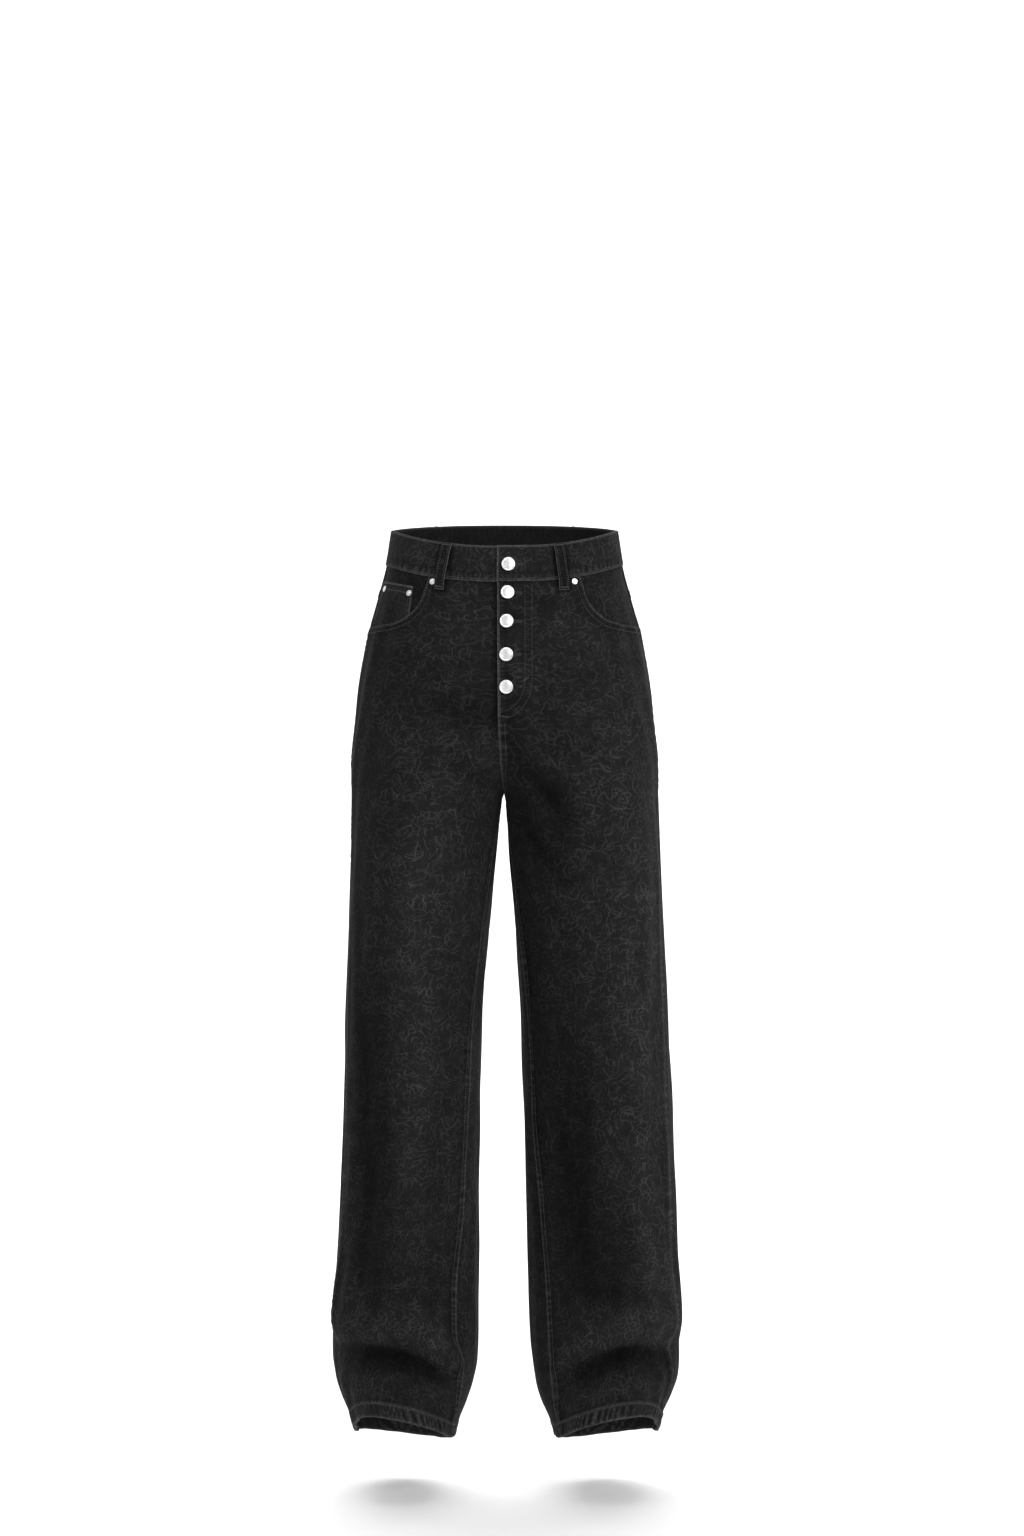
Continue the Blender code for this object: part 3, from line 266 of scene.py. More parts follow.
SEAM_RINGS = (
    SeamRing(0.0000, 4.0, 180.0, 4.0, 180.0),
    SeamRing(-0.2400, 4.0, 180.0, 5.0, 180.0),
    SeamRing(-0.3125, 9.0, 180.0, 13.0, 180.0),
    SeamRing(-0.3795, 15.0, 158.0, 22.0, 164.0),
    SeamRing(-0.4760, 19.0, 151.0, 25.0, 157.0),
    SeamRing(-0.5751, 20.0, 146.5, 26.0, 154.0),
    SeamRing(-0.6970, 20.0, 144.0, 25.0, 154.0),
    SeamRing(-0.8190, 19.5, 143.0, 23.0, 148.0),
    SeamRing(-0.9409, 18.0, 138.0, 23.0, 147.0),
    SeamRing(-1.0018, 16.0, 138.0, 22.5, 146.0),
    SeamRing(-1.0272, 14.5, 147.0, 22.0, 145.5),
    SeamRing(-1.1250, 12.0, 152.0, 18.0, 145.0),
)
# level and x of the lap edge and of the centre seam below it
LAP_POINTS = ((0.0265, -0.0092), (-0.2140, -0.0080), (-0.2700, -0.0055), (-0.2990, -0.0020), (-0.3070, 0.0))
# x and z of the scooped pocket mouth, from the waistband seam to the side seam
SCOOP_POINTS = (
    (0.0935, -0.0368), (0.0987, -0.0524), (0.1034, -0.0660), (0.1105, -0.0773), (0.1201, -0.0859),
    (0.1297, -0.0917), (0.1455, -0.0955), (0.1640, -0.0972), (0.1715, -0.0980),
)
# height above the hem and offset of the deep fold over the instep
BREAK_ROWS = (
    (0.000, 0.000), (0.040, 0.001), (0.075, 0.000), (0.105, -0.007), (0.122, -0.010),
    (0.138, 0.001), (0.156, 0.007), (0.190, 0.005), (0.240, 0.000),
)
FOLDS = (
    # drag lines from the crotch to the thighs
    Fold(1, -0.012, -0.290, -0.078, -0.262, 0.011, -0.0042),
    Fold(1, -0.014, -0.268, -0.072, -0.238, 0.010, 0.0030),
    Fold(1, -0.016, -0.306, -0.112, -0.292, 0.011, 0.0030),
    Fold(1, -0.018, -0.222, -0.112, -0.190, 0.013, -0.0032),
    Fold(1, 0.014, -0.268, 0.083, -0.342, 0.012, -0.0050),
    Fold(1, 0.016, -0.238, 0.092, -0.292, 0.013, 0.0034),
    Fold(1, 0.018, -0.330, 0.072, -0.418, 0.012, -0.0036),
    Fold(1, 0.010, -0.066, 0.108, -0.090, 0.014, -0.0024),
    # long fall of the right leg
    Fold(1, -0.104, -0.345, -0.114, -0.640, 0.022, 0.0058),
    Fold(1, -0.114, -0.640, -0.132, -0.930, 0.018, 0.0045),
    Fold(1, -0.165, -0.560, -0.176, -0.960, 0.016, -0.0040),
    Fold(1, -0.064, -0.520, -0.080, -0.860, 0.014, -0.0026),
    Fold(1, -0.132, -0.935, -0.052, -1.030, 0.013, 0.0050),
    Fold(1, -0.188, -0.940, -0.150, -1.010, 0.012, 0.0030),
    # long fall of the left leg
    Fold(1, 0.168, -0.320, 0.172, -0.860, 0.018, 0.0052),
    Fold(1, 0.172, -0.860, 0.194, -0.930, 0.014, 0.0058),
    Fold(1, 0.088, -0.560, 0.094, -0.900, 0.024, -0.0046),
    Fold(1, 0.050, -0.420, 0.058, -0.900, 0.014, 0.0030),
    Fold(1, 0.088, -0.925, 0.182, -0.940, 0.014, -0.0055),
    Fold(1, 0.208, -0.950, 0.178, -0.985, 0.010, 0.0046),
    Fold(1, 0.172, -0.960, 0.070, -1.040, 0.014, 0.0050),
    # the seat falls into the back of the thighs
    Fold(-1, -0.020, -0.300, -0.140, -0.345, 0.016, -0.0062),
    Fold(-1, -0.030, -0.340, -0.130, -0.395, 0.015, 0.0040),
    Fold(-1, -0.060, -0.392, -0.160, -0.430, 0.015, -0.0038),
    Fold(-1, 0.020, -0.305, 0.138, -0.338, 0.016, -0.0058),
    Fold(-1, 0.028, -0.338, 0.126, -0.382, 0.015, 0.0042),
    Fold(-1, 0.070, -0.400, 0.158, -0.424, 0.015, -0.0034),
    # slack behind the knees and over the heels
    Fold(-1, -0.070, -0.660, -0.168, -0.640, 0.018, -0.0044),
    Fold(-1, -0.080, -0.735, -0.160, -0.745, 0.018, 0.0034),
    Fold(-1, 0.076, -0.640, 0.172, -0.668, 0.018, -0.0042),
    Fold(-1, 0.084, -0.742, 0.170, -0.728, 0.018, 0.0036),
    Fold(-1, -0.120, -0.420, -0.128, -0.900, 0.026, 0.0050),
    Fold(-1, 0.124, -0.430, 0.132, -0.880, 0.026, 0.0046),
    Fold(-1, -0.078, -1.000, -0.176, -0.972, 0.015, -0.0060),
    Fold(-1, -0.082, -1.058, -0.160, -1.048, 0.014, 0.0034),
    Fold(-1, 0.082, -0.978, 0.180, -1.002, 0.015, -0.0058),
    Fold(-1, 0.088, -1.046, 0.166, -1.060, 0.014, 0.0036),
)
FINE_FOLDS = (
    # sharp lines inside the large drag folds at the crotch
    Fold(1, -0.014, -0.256, -0.074, -0.266, 0.0055, -0.0016),
    Fold(1, -0.012, -0.276, -0.060, -0.252, 0.0050, 0.0013),
    Fold(1, -0.014, -0.284, -0.112, -0.293, 0.0060, -0.0015),
    Fold(1, -0.018, -0.246, -0.096, -0.214, 0.0060, 0.0011),
    Fold(1, -0.020, -0.206, -0.084, -0.176, 0.0065, -0.0012),
    Fold(1, 0.014, -0.262, 0.076, -0.330, 0.0055, -0.0015),
    Fold(1, 0.013, -0.284, 0.060, -0.352, 0.0055, 0.0014),
    Fold(1, 0.015, -0.242, 0.088, -0.296, 0.0060, 0.0012),
    Fold(1, 0.015, -0.332, 0.068, -0.408, 0.0060, -0.0014),
    Fold(1, 0.016, -0.372, 0.058, -0.452, 0.0060, 0.0010),
    Fold(1, -0.012, -0.326, -0.064, -0.372, 0.0065, -0.0012),
    Fold(1, -0.016, -0.352, -0.054, -0.420, 0.0065, 0.0010),
    # shallow lines under the waistband and beside the fly
    Fold(1, 0.012, -0.060, 0.104, -0.084, 0.0060, -0.0012),
    Fold(1, 0.030, -0.094, 0.112, -0.118, 0.0070, 0.0009),
    Fold(1, -0.016, -0.066, -0.070, -0.052, 0.0060, -0.0009),
    Fold(1, -0.018, -0.112, -0.092, -0.096, 0.0075, 0.0009),
    Fold(1, 0.040, -0.150, 0.132, -0.176, 0.0080, -0.0010),
    Fold(1, -0.040, -0.150, -0.132, -0.138, 0.0080, -0.0009),
    Fold(1, 0.040, -0.196, 0.148, -0.236, 0.0085, 0.0011),
    # long shallow falls on the legs
    Fold(1, -0.122, -0.400, -0.128, -0.600, 0.0080, 0.0012),
    Fold(1, -0.090, -0.430, -0.096, -0.700, 0.0085, -0.0011),
    Fold(1, -0.140, -0.650, -0.152, -0.840, 0.0075, -0.0013),
    Fold(1, -0.100, -0.720, -0.112, -0.910, 0.0070, 0.0011),
    Fold(1, -0.060, -0.640, -0.066, -0.820, 0.0065, 0.0010),
    Fold(1, 0.150, -0.380, 0.156, -0.620, 0.0080, 0.0012),
    Fold(1, 0.120, -0.480, 0.124, -0.720, 0.0085, -0.0012),
    Fold(1, 0.070, -0.600, 0.076, -0.860, 0.0070, 0.0010),
    Fold(1, 0.150, -0.700, 0.160, -0.880, 0.0075, -0.0013),
    Fold(1, 0.106, -0.760, 0.112, -0.900, 0.0070, 0.0010),
    # creases round the break over each instep
    Fold(1, -0.080, -0.986, -0.056, -1.030, 0.0050, 0.0016),
    Fold(1, -0.060, -1.020, -0.052, -1.062, 0.0045, 0.0014),
    Fold(1, -0.178, -1.024, -0.150, -1.004, 0.0050, -0.0013),
    Fold(1, -0.150, -0.985, -0.096, -0.972, 0.0060, 0.0011),
    Fold(1, -0.120, -1.050, -0.070, -1.062, 0.0060, 0.0012),
    Fold(1, -0.186, -1.060, -0.160, -1.080, 0.0055, 0.0012),
    Fold(1, 0.192, -0.935, 0.186, -0.975, 0.0045, 0.0017),
    Fold(1, 0.184, -0.962, 0.168, -0.996, 0.0045, -0.0015),
    Fold(1, 0.150, -0.948, 0.090, -1.000, 0.0060, 0.0013),
    Fold(1, 0.066, -1.010, 0.060, -1.060, 0.0050, 0.0013),
    Fold(1, 0.206, -1.020, 0.196, -1.064, 0.0050, 0.0013),
    Fold(1, 0.100, -1.056, 0.156, -1.048, 0.0060, 0.0011),
    # behind: seat, knees and heels
    Fold(-1, -0.016, -0.290, -0.110, -0.322, 0.0065, -0.0017),
    Fold(-1, -0.020, -0.322, -0.120, -0.372, 0.0065, 0.0013),
    Fold(-1, -0.014, -0.262, -0.082, -0.276, 0.0060, 0.0011),
    Fold(-1, 0.016, -0.294, 0.112, -0.318, 0.0065, -0.0016),
    Fold(-1, 0.022, -0.326, 0.112, -0.368, 0.0065, 0.0013),
    Fold(-1, 0.014, -0.258, 0.088, -0.272, 0.0060, 0.0011),
    Fold(-1, -0.060, -0.676, -0.150, -0.662, 0.0070, -0.0014),
    Fold(-1, -0.070, -0.700, -0.172, -0.706, 0.0070, 0.0012),
    Fold(-1, 0.068, -0.664, 0.160, -0.682, 0.0070, -0.0014),
    Fold(-1, 0.074, -0.712, 0.176, -0.700, 0.0070, 0.0012),
    Fold(-1, -0.150, -0.470, -0.156, -0.640, 0.0080, -0.0012),
    Fold(-1, 0.092, -0.480, 0.098, -0.650, 0.0080, -0.0012),
    Fold(-1, -0.096, -0.780, -0.104, -0.930, 0.0080, 0.0013),
    Fold(-1, 0.156, -0.790, 0.160, -0.940, 0.0080, 0.0013),
    Fold(-1, -0.090, -1.014, -0.166, -0.988, 0.0055, -0.0018),
    Fold(-1, -0.086, -1.034, -0.170, -1.020, 0.0055, 0.0014),
    Fold(-1, 0.092, -0.990, 0.172, -1.016, 0.0055, -0.0018),
    Fold(-1, 0.088, -1.018, 0.166, -1.040, 0.0055, 0.0014),
    Fold(-1, -0.108, -1.080, -0.150, -1.076, 0.0060, -0.0011),
    Fold(-1, 0.106, -1.076, 0.156, -1.082, 0.0060, -0.0011),
)
PATCHES = (
    # paler thighs and shin on the right, paler outer thigh and knee on the left: wash fading, with painted
    # light
    Patch(1, -0.090, -0.400, 0.050, 0.120, 0.30),
    Patch(1, -0.085, -0.720, 0.050, 0.200, 0.16),
    Patch(1, 0.150, -0.330, 0.045, 0.170, 0.34),
    Patch(1, 0.160, -0.640, 0.034, 0.170, 0.26),
    Patch(1, 0.120, -0.060, 0.050, 0.080, 0.16),
    Patch(1, 0.190, -0.900, 0.024, 0.110, 0.30),
    Patch(1, -0.075, -1.060, 0.026, 0.040, 0.22),
    Patch(1, 0.090, -1.055, 0.026, 0.030, 0.20),
    Patch(-1, -0.090, -0.250, 0.070, 0.080, 0.24),
    Patch(-1, 0.090, -0.250, 0.070, 0.080, 0.24),
    Patch(-1, -0.120, -0.560, 0.050, 0.180, 0.12),
    Patch(-1, 0.120, -0.560, 0.050, 0.180, 0.12),
    # darker hips, crotch, inner left leg and outer right leg: painted shade at the sides, in the crotch and
    # between the legs, with darker wash
    Patch(1, -0.155, -0.080, 0.050, 0.110, -0.26),
    Patch(1, -0.040, -0.205, 0.045, 0.045, -0.26),
    Patch(1, 0.010, -0.240, 0.022, 0.055, -0.40),
    Patch(1, -0.186, -0.420, 0.024, 0.330, -0.42),
    Patch(1, 0.060, -0.330, 0.042, 0.100, -0.26),
    Patch(1, 0.045, -0.560, 0.034, 0.200, -0.50),
    Patch(1, 0.075, -0.800, 0.052, 0.150, -0.52),
    Patch(1, 0.130, -0.890, 0.042, 0.060, -0.42),
    Patch(1, -0.160, -0.740, 0.026, 0.200, -0.42),
    Patch(1, -0.105, -0.900, 0.070, 0.080, -0.26),
    Patch(-1, -0.060, -0.420, 0.030, 0.110, -0.25),
    Patch(-1, 0.060, -0.420, 0.030, 0.110, -0.25),
    Patch(-1, -0.170, -0.760, 0.026, 0.200, -0.25),
    Patch(-1, 0.170, -0.760, 0.026, 0.200, -0.25),
)

CRESCENTS = {Side.RIGHT: Crescent(0.009, 0.80), Side.LEFT: Crescent(0.016, 0.40)}

CLOTH = 0.0012  # one layer of denim
SEAM_GAP = 0.0003
HALF_GAP = 0.5 * SEAM_GAP
LAID_GAP = 0.0005
BAND_TOP = 0.0265
BAND_BOTTOM = -0.0185
UNDER_BAND = BAND_BOTTOM - HALF_GAP
HEM_LEVEL = -1.125
HEM_DEPTH = 0.020
CROTCH_LEVEL = -0.3125
FLY_END = -0.214
YOKE_SIDE = -0.0585
YOKE_DROP = 0.030
# rough radii that turn angles into lengths
HIP_RADIUS = 0.092
LEG_RADIUS = 0.095
HEM_RADIUS = 0.085
SIDE_RADIUS = 0.090
STEP_RADIUS = 0.100
BAND_RADIUS = 0.125
# distances of a double row of stitches from its edge
DOUBLE_ROW = (0.0020, 0.0020 + 0.0062)
LOOP_DARK = 0.60  # share of the tone that a belt loop's shadow takes


def ring_curves(rings: Sequence, *words: str) -> list[Curve]:
    """Curves by level through the named columns of a table of rings."""
    levels = [ring.level for ring in rings]
    return [curve_through(levels, [getattr(ring, word) for ring in rings]) for word in words]


@dataclass
class WornForm:
    """The outer face of the cloth on a general figure, before the small relief."""

    hip_power: float = 2.3
    leg_power: float = 2.15
    blend_top: float = -0.195
    blend_bottom: float = -0.3186
    waist_dip: float = 0.0265
    waist_rise: float = 0.015
    dip_power: float = 1.9
    rise_power: float = 1.2
    tilt_fade: float = -0.200
    hem_rise: float = 0.038
    hem_drop: float = 0.020
    hem_angle: float = 72.0
    hem_power: float = 1.8
    hem_full: float = 0.130
    hem_zero: float = 0.300
    tuck: float = 0.004
    fold_fade: float = 0.22
    facing_depth: float = 0.045
    middle_fade: float = 0.014
    break_apex: float = 51.0
    break_span: float = 75.0
    break_sag_outer: float = 0.0135
    break_sag_inner: float = 0.029
    break_window: tuple = (-6.0, 30.0, 120.0, 152.0)
    drape_waves: int = 12
    drape_height: float = 0.00028
    drape_seed: int = 11
    drape_slant: float = 6.0
    slope_step: float = 0.0004
    # tone: painted light on fold ridges and painted shade in fold hollows, with some wash fading; gain and
    # range on ridges, and the darkest cloth
    ridge_gain: float = 48.0
    ridge_range: tuple = (-0.34, 0.30)
    darkest: float = 0.16
    # the crescent of painted shade: heights above the hem, angles from its middle, and the painted highlight
    # on its pale lip
    crescent_dark: float = 0.80
    crescent_top: tuple = (0.1340, 0.1230)
    crescent_foot: tuple = (0.0820, 0.1160)
    crescent_lean: float = 22.0
    crescent_ends: tuple = (84.0, 46.0)
    outer_end: tuple = (72.0, 20.0)
    lip_pale: float = 0.20
    lip_place: tuple = (0.1560, 0.0150)

    def __post_init__(self) -> None:
        """Turn the tables into curves and find the middle plane."""
        self.hip_width, self.hip_front, self.hip_back = ring_curves(HIP_RINGS, "half_width", "front", "back")
        self.leg_back = ring_curves(LEG_RINGS, "back")[0]
        self.leg_x = {}
        self.leg_half = {}
        self.leg_depth = {}
        self.out_angle = {}
        self.in_angle = {}
        for side in Side:
            word = side.name.lower()
            self.leg_x[side], self.leg_half[side] = ring_curves(LEG_RINGS, word + "_x", word + "_half")
            self.out_angle[side], self.in_angle[side] = ring_curves(SEAM_RINGS, word + "_out", word + "_in")
            depth = [self.depth_from_girth(ring.girth, getattr(ring, word + "_half")) for ring in LEG_RINGS]
            self.leg_depth[side] = curve_through([ring.level for ring in LEG_RINGS], depth)
        self.fold_columns = np.array(FOLDS + FINE_FOLDS).T
        self.lap_x = curve_through(*zip(*LAP_POINTS))
        self.break_offset = curve_through(*zip(*BREAK_ROWS))
        spread = np.random.default_rng(self.drape_seed).uniform(size=(self.drape_waves, 4))
        self.waves = np.stack([
            90.0 + 130.0 * spread[:, 0],
            (spread[:, 1] - 0.5) * 18.0,
            2.0 * math.pi * spread[:, 2],
            0.6 + 0.8 * spread[:, 3],
        ], axis=1)
        self.centre = {(s, f): self.centre_table(s, f) for s in Side for f in Face}

    def ring_girth(self, half_width: float, half_depth: float) -> float:
        """Length of a tape round a leg ring."""
        turn = np.linspace(0.0, 2.0 * math.pi, 181)
        c = np.cos(turn)
        s = np.sin(turn)
        p = self.leg_power
        reach = (np.abs(c / half_width) ** p + np.abs(s / half_depth) ** p) ** (-1.0 / p)
        return float(np.hypot(np.diff(reach * c), np.diff(reach * s)).sum())

    def depth_from_girth(self, girth: float, half_width: float) -> float:
        """Half depth that gives a ring of this half width its girth."""
        return float(turning_point(0.02, 0.30, lambda depth: self.ring_girth(half_width, depth) < girth, 40))

    def hip_reach(self, level: Array, out: Array, forward: Array, across: Array, ahead: Array) -> Array:
        """Distance from (out, forward) to the hip ring, by Newton's steps.

        Args:
            level: Level of the ring.
            out: Start across the body.
            forward: Start to the front.
            across: Direction across the body.
            ahead: Direction to the front.

        Returns:
            The distance along the direction.
        """
        width = self.hip_width(level)
        front = self.hip_front(level)
        back = self.hip_back(level)
        p = self.hip_power
        reach = np.full(np.broadcast(level, across).shape, 0.45)
        for _ in range(11):
            u = out + reach * across
            v = forward + reach * ahead
            depth = np.where(v > 0.0, front, back)
            wide = np.abs(u / width)
            deep = np.abs(v / depth)
            value = wide ** p + deep ** p - 1.0
            slope = wide ** (p - 1.0) * np.sign(u) * across / width
            slope = p * (slope + deep ** (p - 1.0) * np.sign(v) * ahead / depth)
            reach = reach - value / slope
        return reach

    def fold_height(self, side: int, angle: Array, x: Array, z: Array, v: Array) -> Array:
        """How far all folds move the cloth out at a place."""
        face, x1, z1, x2, z2, width, height = self.fold_columns
        dx = x2 - x1
        dz = z2 - z1
        length = np.hypot(dx, dz)
        from_x = np.asarray(x)[..., None] - x1
        from_z = np.asarray(z)[..., None] - z1
        along = (from_x * dx + from_z * dz) / length
        off = (from_x * dz - from_z * dx) / length
        fade = self.fold_fade * length + width
        ends = smooth(along, -fade, fade) * smooth(along, length + fade, length - fade)
        ridges = height * bell(off, 0.0, width) * ends
        fronts = face > 0.0
        facing = smooth(v, 0.0, self.facing_depth)
        behind = smooth(-v, 0.0, self.facing_depth)
        total = ridges[..., fronts].sum(-1) * facing + ridges[..., ~fronts].sum(-1) * behind
        total = total + self.drape(side, angle, z)
        return total * smooth(np.abs(x), 0.0, self.middle_fade) + self.break_height(angle, z)

    def drape(self, side: int, angle: Array, z: Array) -> Array:
        """Slight unevenness of hanging cloth all over."""
        run = np.radians(angle) * LEG_RADIUS
        total = np.zeros(np.shape(z))
        for rate, slant, phase, size in self.waves:
            total = total + size * np.sin(rate * run + slant * self.drape_slant * z + phase + side)
        return self.drape_height * total * smooth(z, -0.010, -0.090)

    def break_height(self, angle: Array, z: Array) -> Array:
        """The deep fold above each hem, where the cloth rests on the instep."""
        height, window = self.break_share(angle, z)
        return self.break_offset(height) * window

    def break_share(self, angle: Array, z: Array) -> Pair:
        """Height above the hem along the sagging fold, and where the fold runs."""
        height = z - HEM_LEVEL
        turn = angle - self.break_apex
        sag = np.where(turn < 0.0, self.break_sag_outer, self.break_sag_inner) * (turn / self.break_span) ** 2
        a, b, c, d = self.break_window
        return height + sag, smooth(angle, a, b) * smooth(angle, d, c)

    def waist_tilt(self, level: Array, v: Array) -> Array:
        """The waist dips at the front and rises at the back."""
        fade = smooth(level, self.tilt_fade, BAND_BOTTOM)
        ahead = np.clip(v / self.hip_front(level), 0.0, 1.0)
        behind = np.clip(-v / self.hip_back(level), 0.0, 1.0)
        return fade * (self.waist_rise * behind ** self.rise_power - self.waist_dip * ahead ** self.dip_power)

    def hem_tilt(self, angle: Array, level: Array) -> Array:
        """The hem rises over the instep and drops at the heel."""
        fade = smooth(level - HEM_LEVEL, self.hem_zero, self.hem_full)
        toward = np.cos(np.radians(angle - self.hem_angle))
        up = self.hem_rise * np.clip(toward, 0.0, 1.0) ** self.hem_power
        down = self.hem_drop * np.clip(-toward, 0.0, 1.0) ** self.hem_power
        return fade * (up - down)

    def bare(self, side: int, angle: Array, level: Array) -> tuple[Array, Array, Array, Array, Array]:
        """Place without folds, as (u, v, z, across, ahead)."""
        angle, level = np.broadcast_arrays(np.asarray(angle, float), np.asarray(level, float))
        across = np.cos(np.radians(angle))
        ahead = np.sin(np.radians(angle))
        out = self.leg_x[side](level)
        forward = -self.leg_back(level)
        p = self.leg_power
        wide = np.abs(across / self.leg_half[side](level))
        deep = np.abs(ahead / self.leg_depth[side](level))
        reach = (wide ** p + deep ** p) ** (-1.0 / p)
        share = gentle(level, self.blend_bottom, self.blend_top)
        if np.any(share > 0.0):
            reach = (1.0 - share) * reach + share * self.hip_reach(level, out, forward, across, ahead)
        u = out + reach * across
        v = forward + reach * ahead
        z = level + self.waist_tilt(level, v) + self.hem_tilt(angle, level)
        return u, v, z, across, ahead

    def surface(self, side: int, angle: Array, level: Array) -> Array:
        """Outer face of the cloth at an angle round one leg's axis and a level."""
        u, v, z, across, ahead = self.bare(side, angle, level)
        angle = np.broadcast_to(angle, u.shape)
        push = self.fold_height(side, angle, side * u, z, v)
        return np.stack([side * (u + push * across), -(v + push * ahead), z], axis=-1)

    def angle_where(self, side: int, level: Array, low: float, high: float, test: Callable) -> Array:
        """Angle between low and high where test(point) turns from true to false."""
        return turning_point(low, high, lambda middle: test(self.surface(side, middle, level)), 24)

    def centre_table(self, side: int, face: int) -> Curve:
        """Angle at which the cloth reaches the middle plane, by level."""
        spacing = np.linspace(0.0, 1.0, 300) ** 2
        levels = CROTCH_LEVEL + spacing * (BAND_TOP + 0.01 - CROTCH_LEVEL)
        angles = self.angle_where(side, levels, 60.0 * face, 180.0 * face, lambda p: p[..., 0] * side > 0.0)
        return lambda level: np.interp(level, levels, angles)

    def over_centre(self, side: int, angle: Array, level: Array) -> Array:
        """The front beyond the middle plane carries on over the other side."""
        middle = self.centre[side, Face.FRONT](level)
        past = angle > middle
        own = self.surface(side, np.minimum(angle, middle), level)
        if not np.any(past):
            return own
        other = self.surface(-side, np.where(past, 2.0 * middle - angle, middle), level)
        return np.where(past[..., None], other, own)

    def tuck_x(self, level: Array) -> Array:
        """x of the right front's edge, which goes on a little under the lap."""
        return self.lap_x(level) + self.tuck * smooth(level, FLY_END + 0.006, FLY_END + 0.020)

    def front_edge_angle(self, side: int, level: Array, x_edge: Array) -> Array:
        """Angle of an edge near the middle, which may lie past it."""
        middle = self.centre[side, Face.FRONT](level)
        own = self.angle_where(side, level, 60.0, 180.0, lambda p: p[..., 0] * side > x_edge * side)
        other = self.angle_where(-side, level, 60.0, 180.0, lambda p: p[..., 0] * side < x_edge * side)
        return np.where(x_edge * side > 0.0, own, 2.0 * middle - other)

    def normals(self, place: Callable, angle: Array, level: Array, turning: int) -> Array:
        """Outward unit normals of a surface given as place(angle, level)."""
        turn = np.degrees(self.slope_step / STEP_RADIUS)
        around = place(angle + turn, level) - place(angle - turn, level)
        along = place(angle, level + self.slope_step) - place(angle, level - self.slope_step)
        return unit(np.cross(along, around)) * turning

    def angle_at_x(self, side: int, level: Array, x: Array, face: int = Face.FRONT) -> Array:
        """Angle of the place with this x on the front or the back."""
        return self.angle_where(side, level, 0.0, 175.0 * face, lambda p: p[..., 0] * side > np.abs(x))

    def place_on(self, side: int, x: Array, z: Array, face: int = Face.FRONT) -> Pair:
        """Angle and level of the place that is seen at x and z."""
        z = np.asarray(z, float)
        level = z.copy()
        angle = level
        for _ in range(8):
            angle = self.angle_at_x(side, level, x, face)
            level = level + (z - self.surface(side, angle, level)[..., 2])
        return angle, level

    def angle_at_arc(self, side: int, level: Array, arc: Array) -> Array:
        """Angle on the back at this distance along the cloth from the centre seam."""
        centre = self.centre[side, Face.BACK](level)
        steps = np.linspace(0.0, 1.0, 40)
        angles = mix(centre[..., None], self.out_angle[side](level)[..., None], steps)
        points = self.surface(side, angles, level[..., None])
        length = np.linalg.norm(np.diff(points, axis=-2), axis=-1)
        found = np.empty(np.shape(level))
        for i in np.ndindex(found.shape):
            found[i] = np.interp(arc[i], running_total(length[i]), angles[i])
        return found

    def crescent(self, side: int, angle: Array, z: Array) -> Array:
        """Painted shade in the deep fold over the instep, less the painted highlight on its pale lip."""
        height, window = self.break_share(angle, z)
        outward = smooth(angle, *self.outer_end)
        height = height + CRESCENTS[side].rise * outward
        window = window * (1.0 - CRESCENTS[side].fade * outward)
        deep = smooth(height, *self.crescent_top) * smooth(height, *self.crescent_foot)
        window = window * smooth(np.abs(angle - self.break_apex - self.crescent_lean), *self.crescent_ends)
        return window * (self.crescent_dark * deep - self.lip_pale * bell(height, *self.lip_place))

    def tone(self, side: int, angle: Array, points: Array) -> Array:
        """Tone of the cloth, about 1: painted light on fold ridges, painted shade in fold hollows and the
        crescents, and patches of wash fading and painted light and shade.
        """
        x = points[..., 0]
        z = points[..., 2]
        v = -points[..., 1]
        ridge = self.fold_height(side, angle, x, z, v) - self.break_height(angle, z)
        tone = 1.0 + np.clip(self.ridge_gain * ridge, *self.ridge_range) - self.crescent(side, angle, z)
        for patch in PATCHES:
            facing = smooth(v * patch.face, -0.01, 0.05)
            spot = bell(x, patch.x, patch.half_x) * bell(z, patch.z, patch.half_z)
            tone = tone + patch.amount * facing * spot
        return np.maximum(tone, self.darkest)


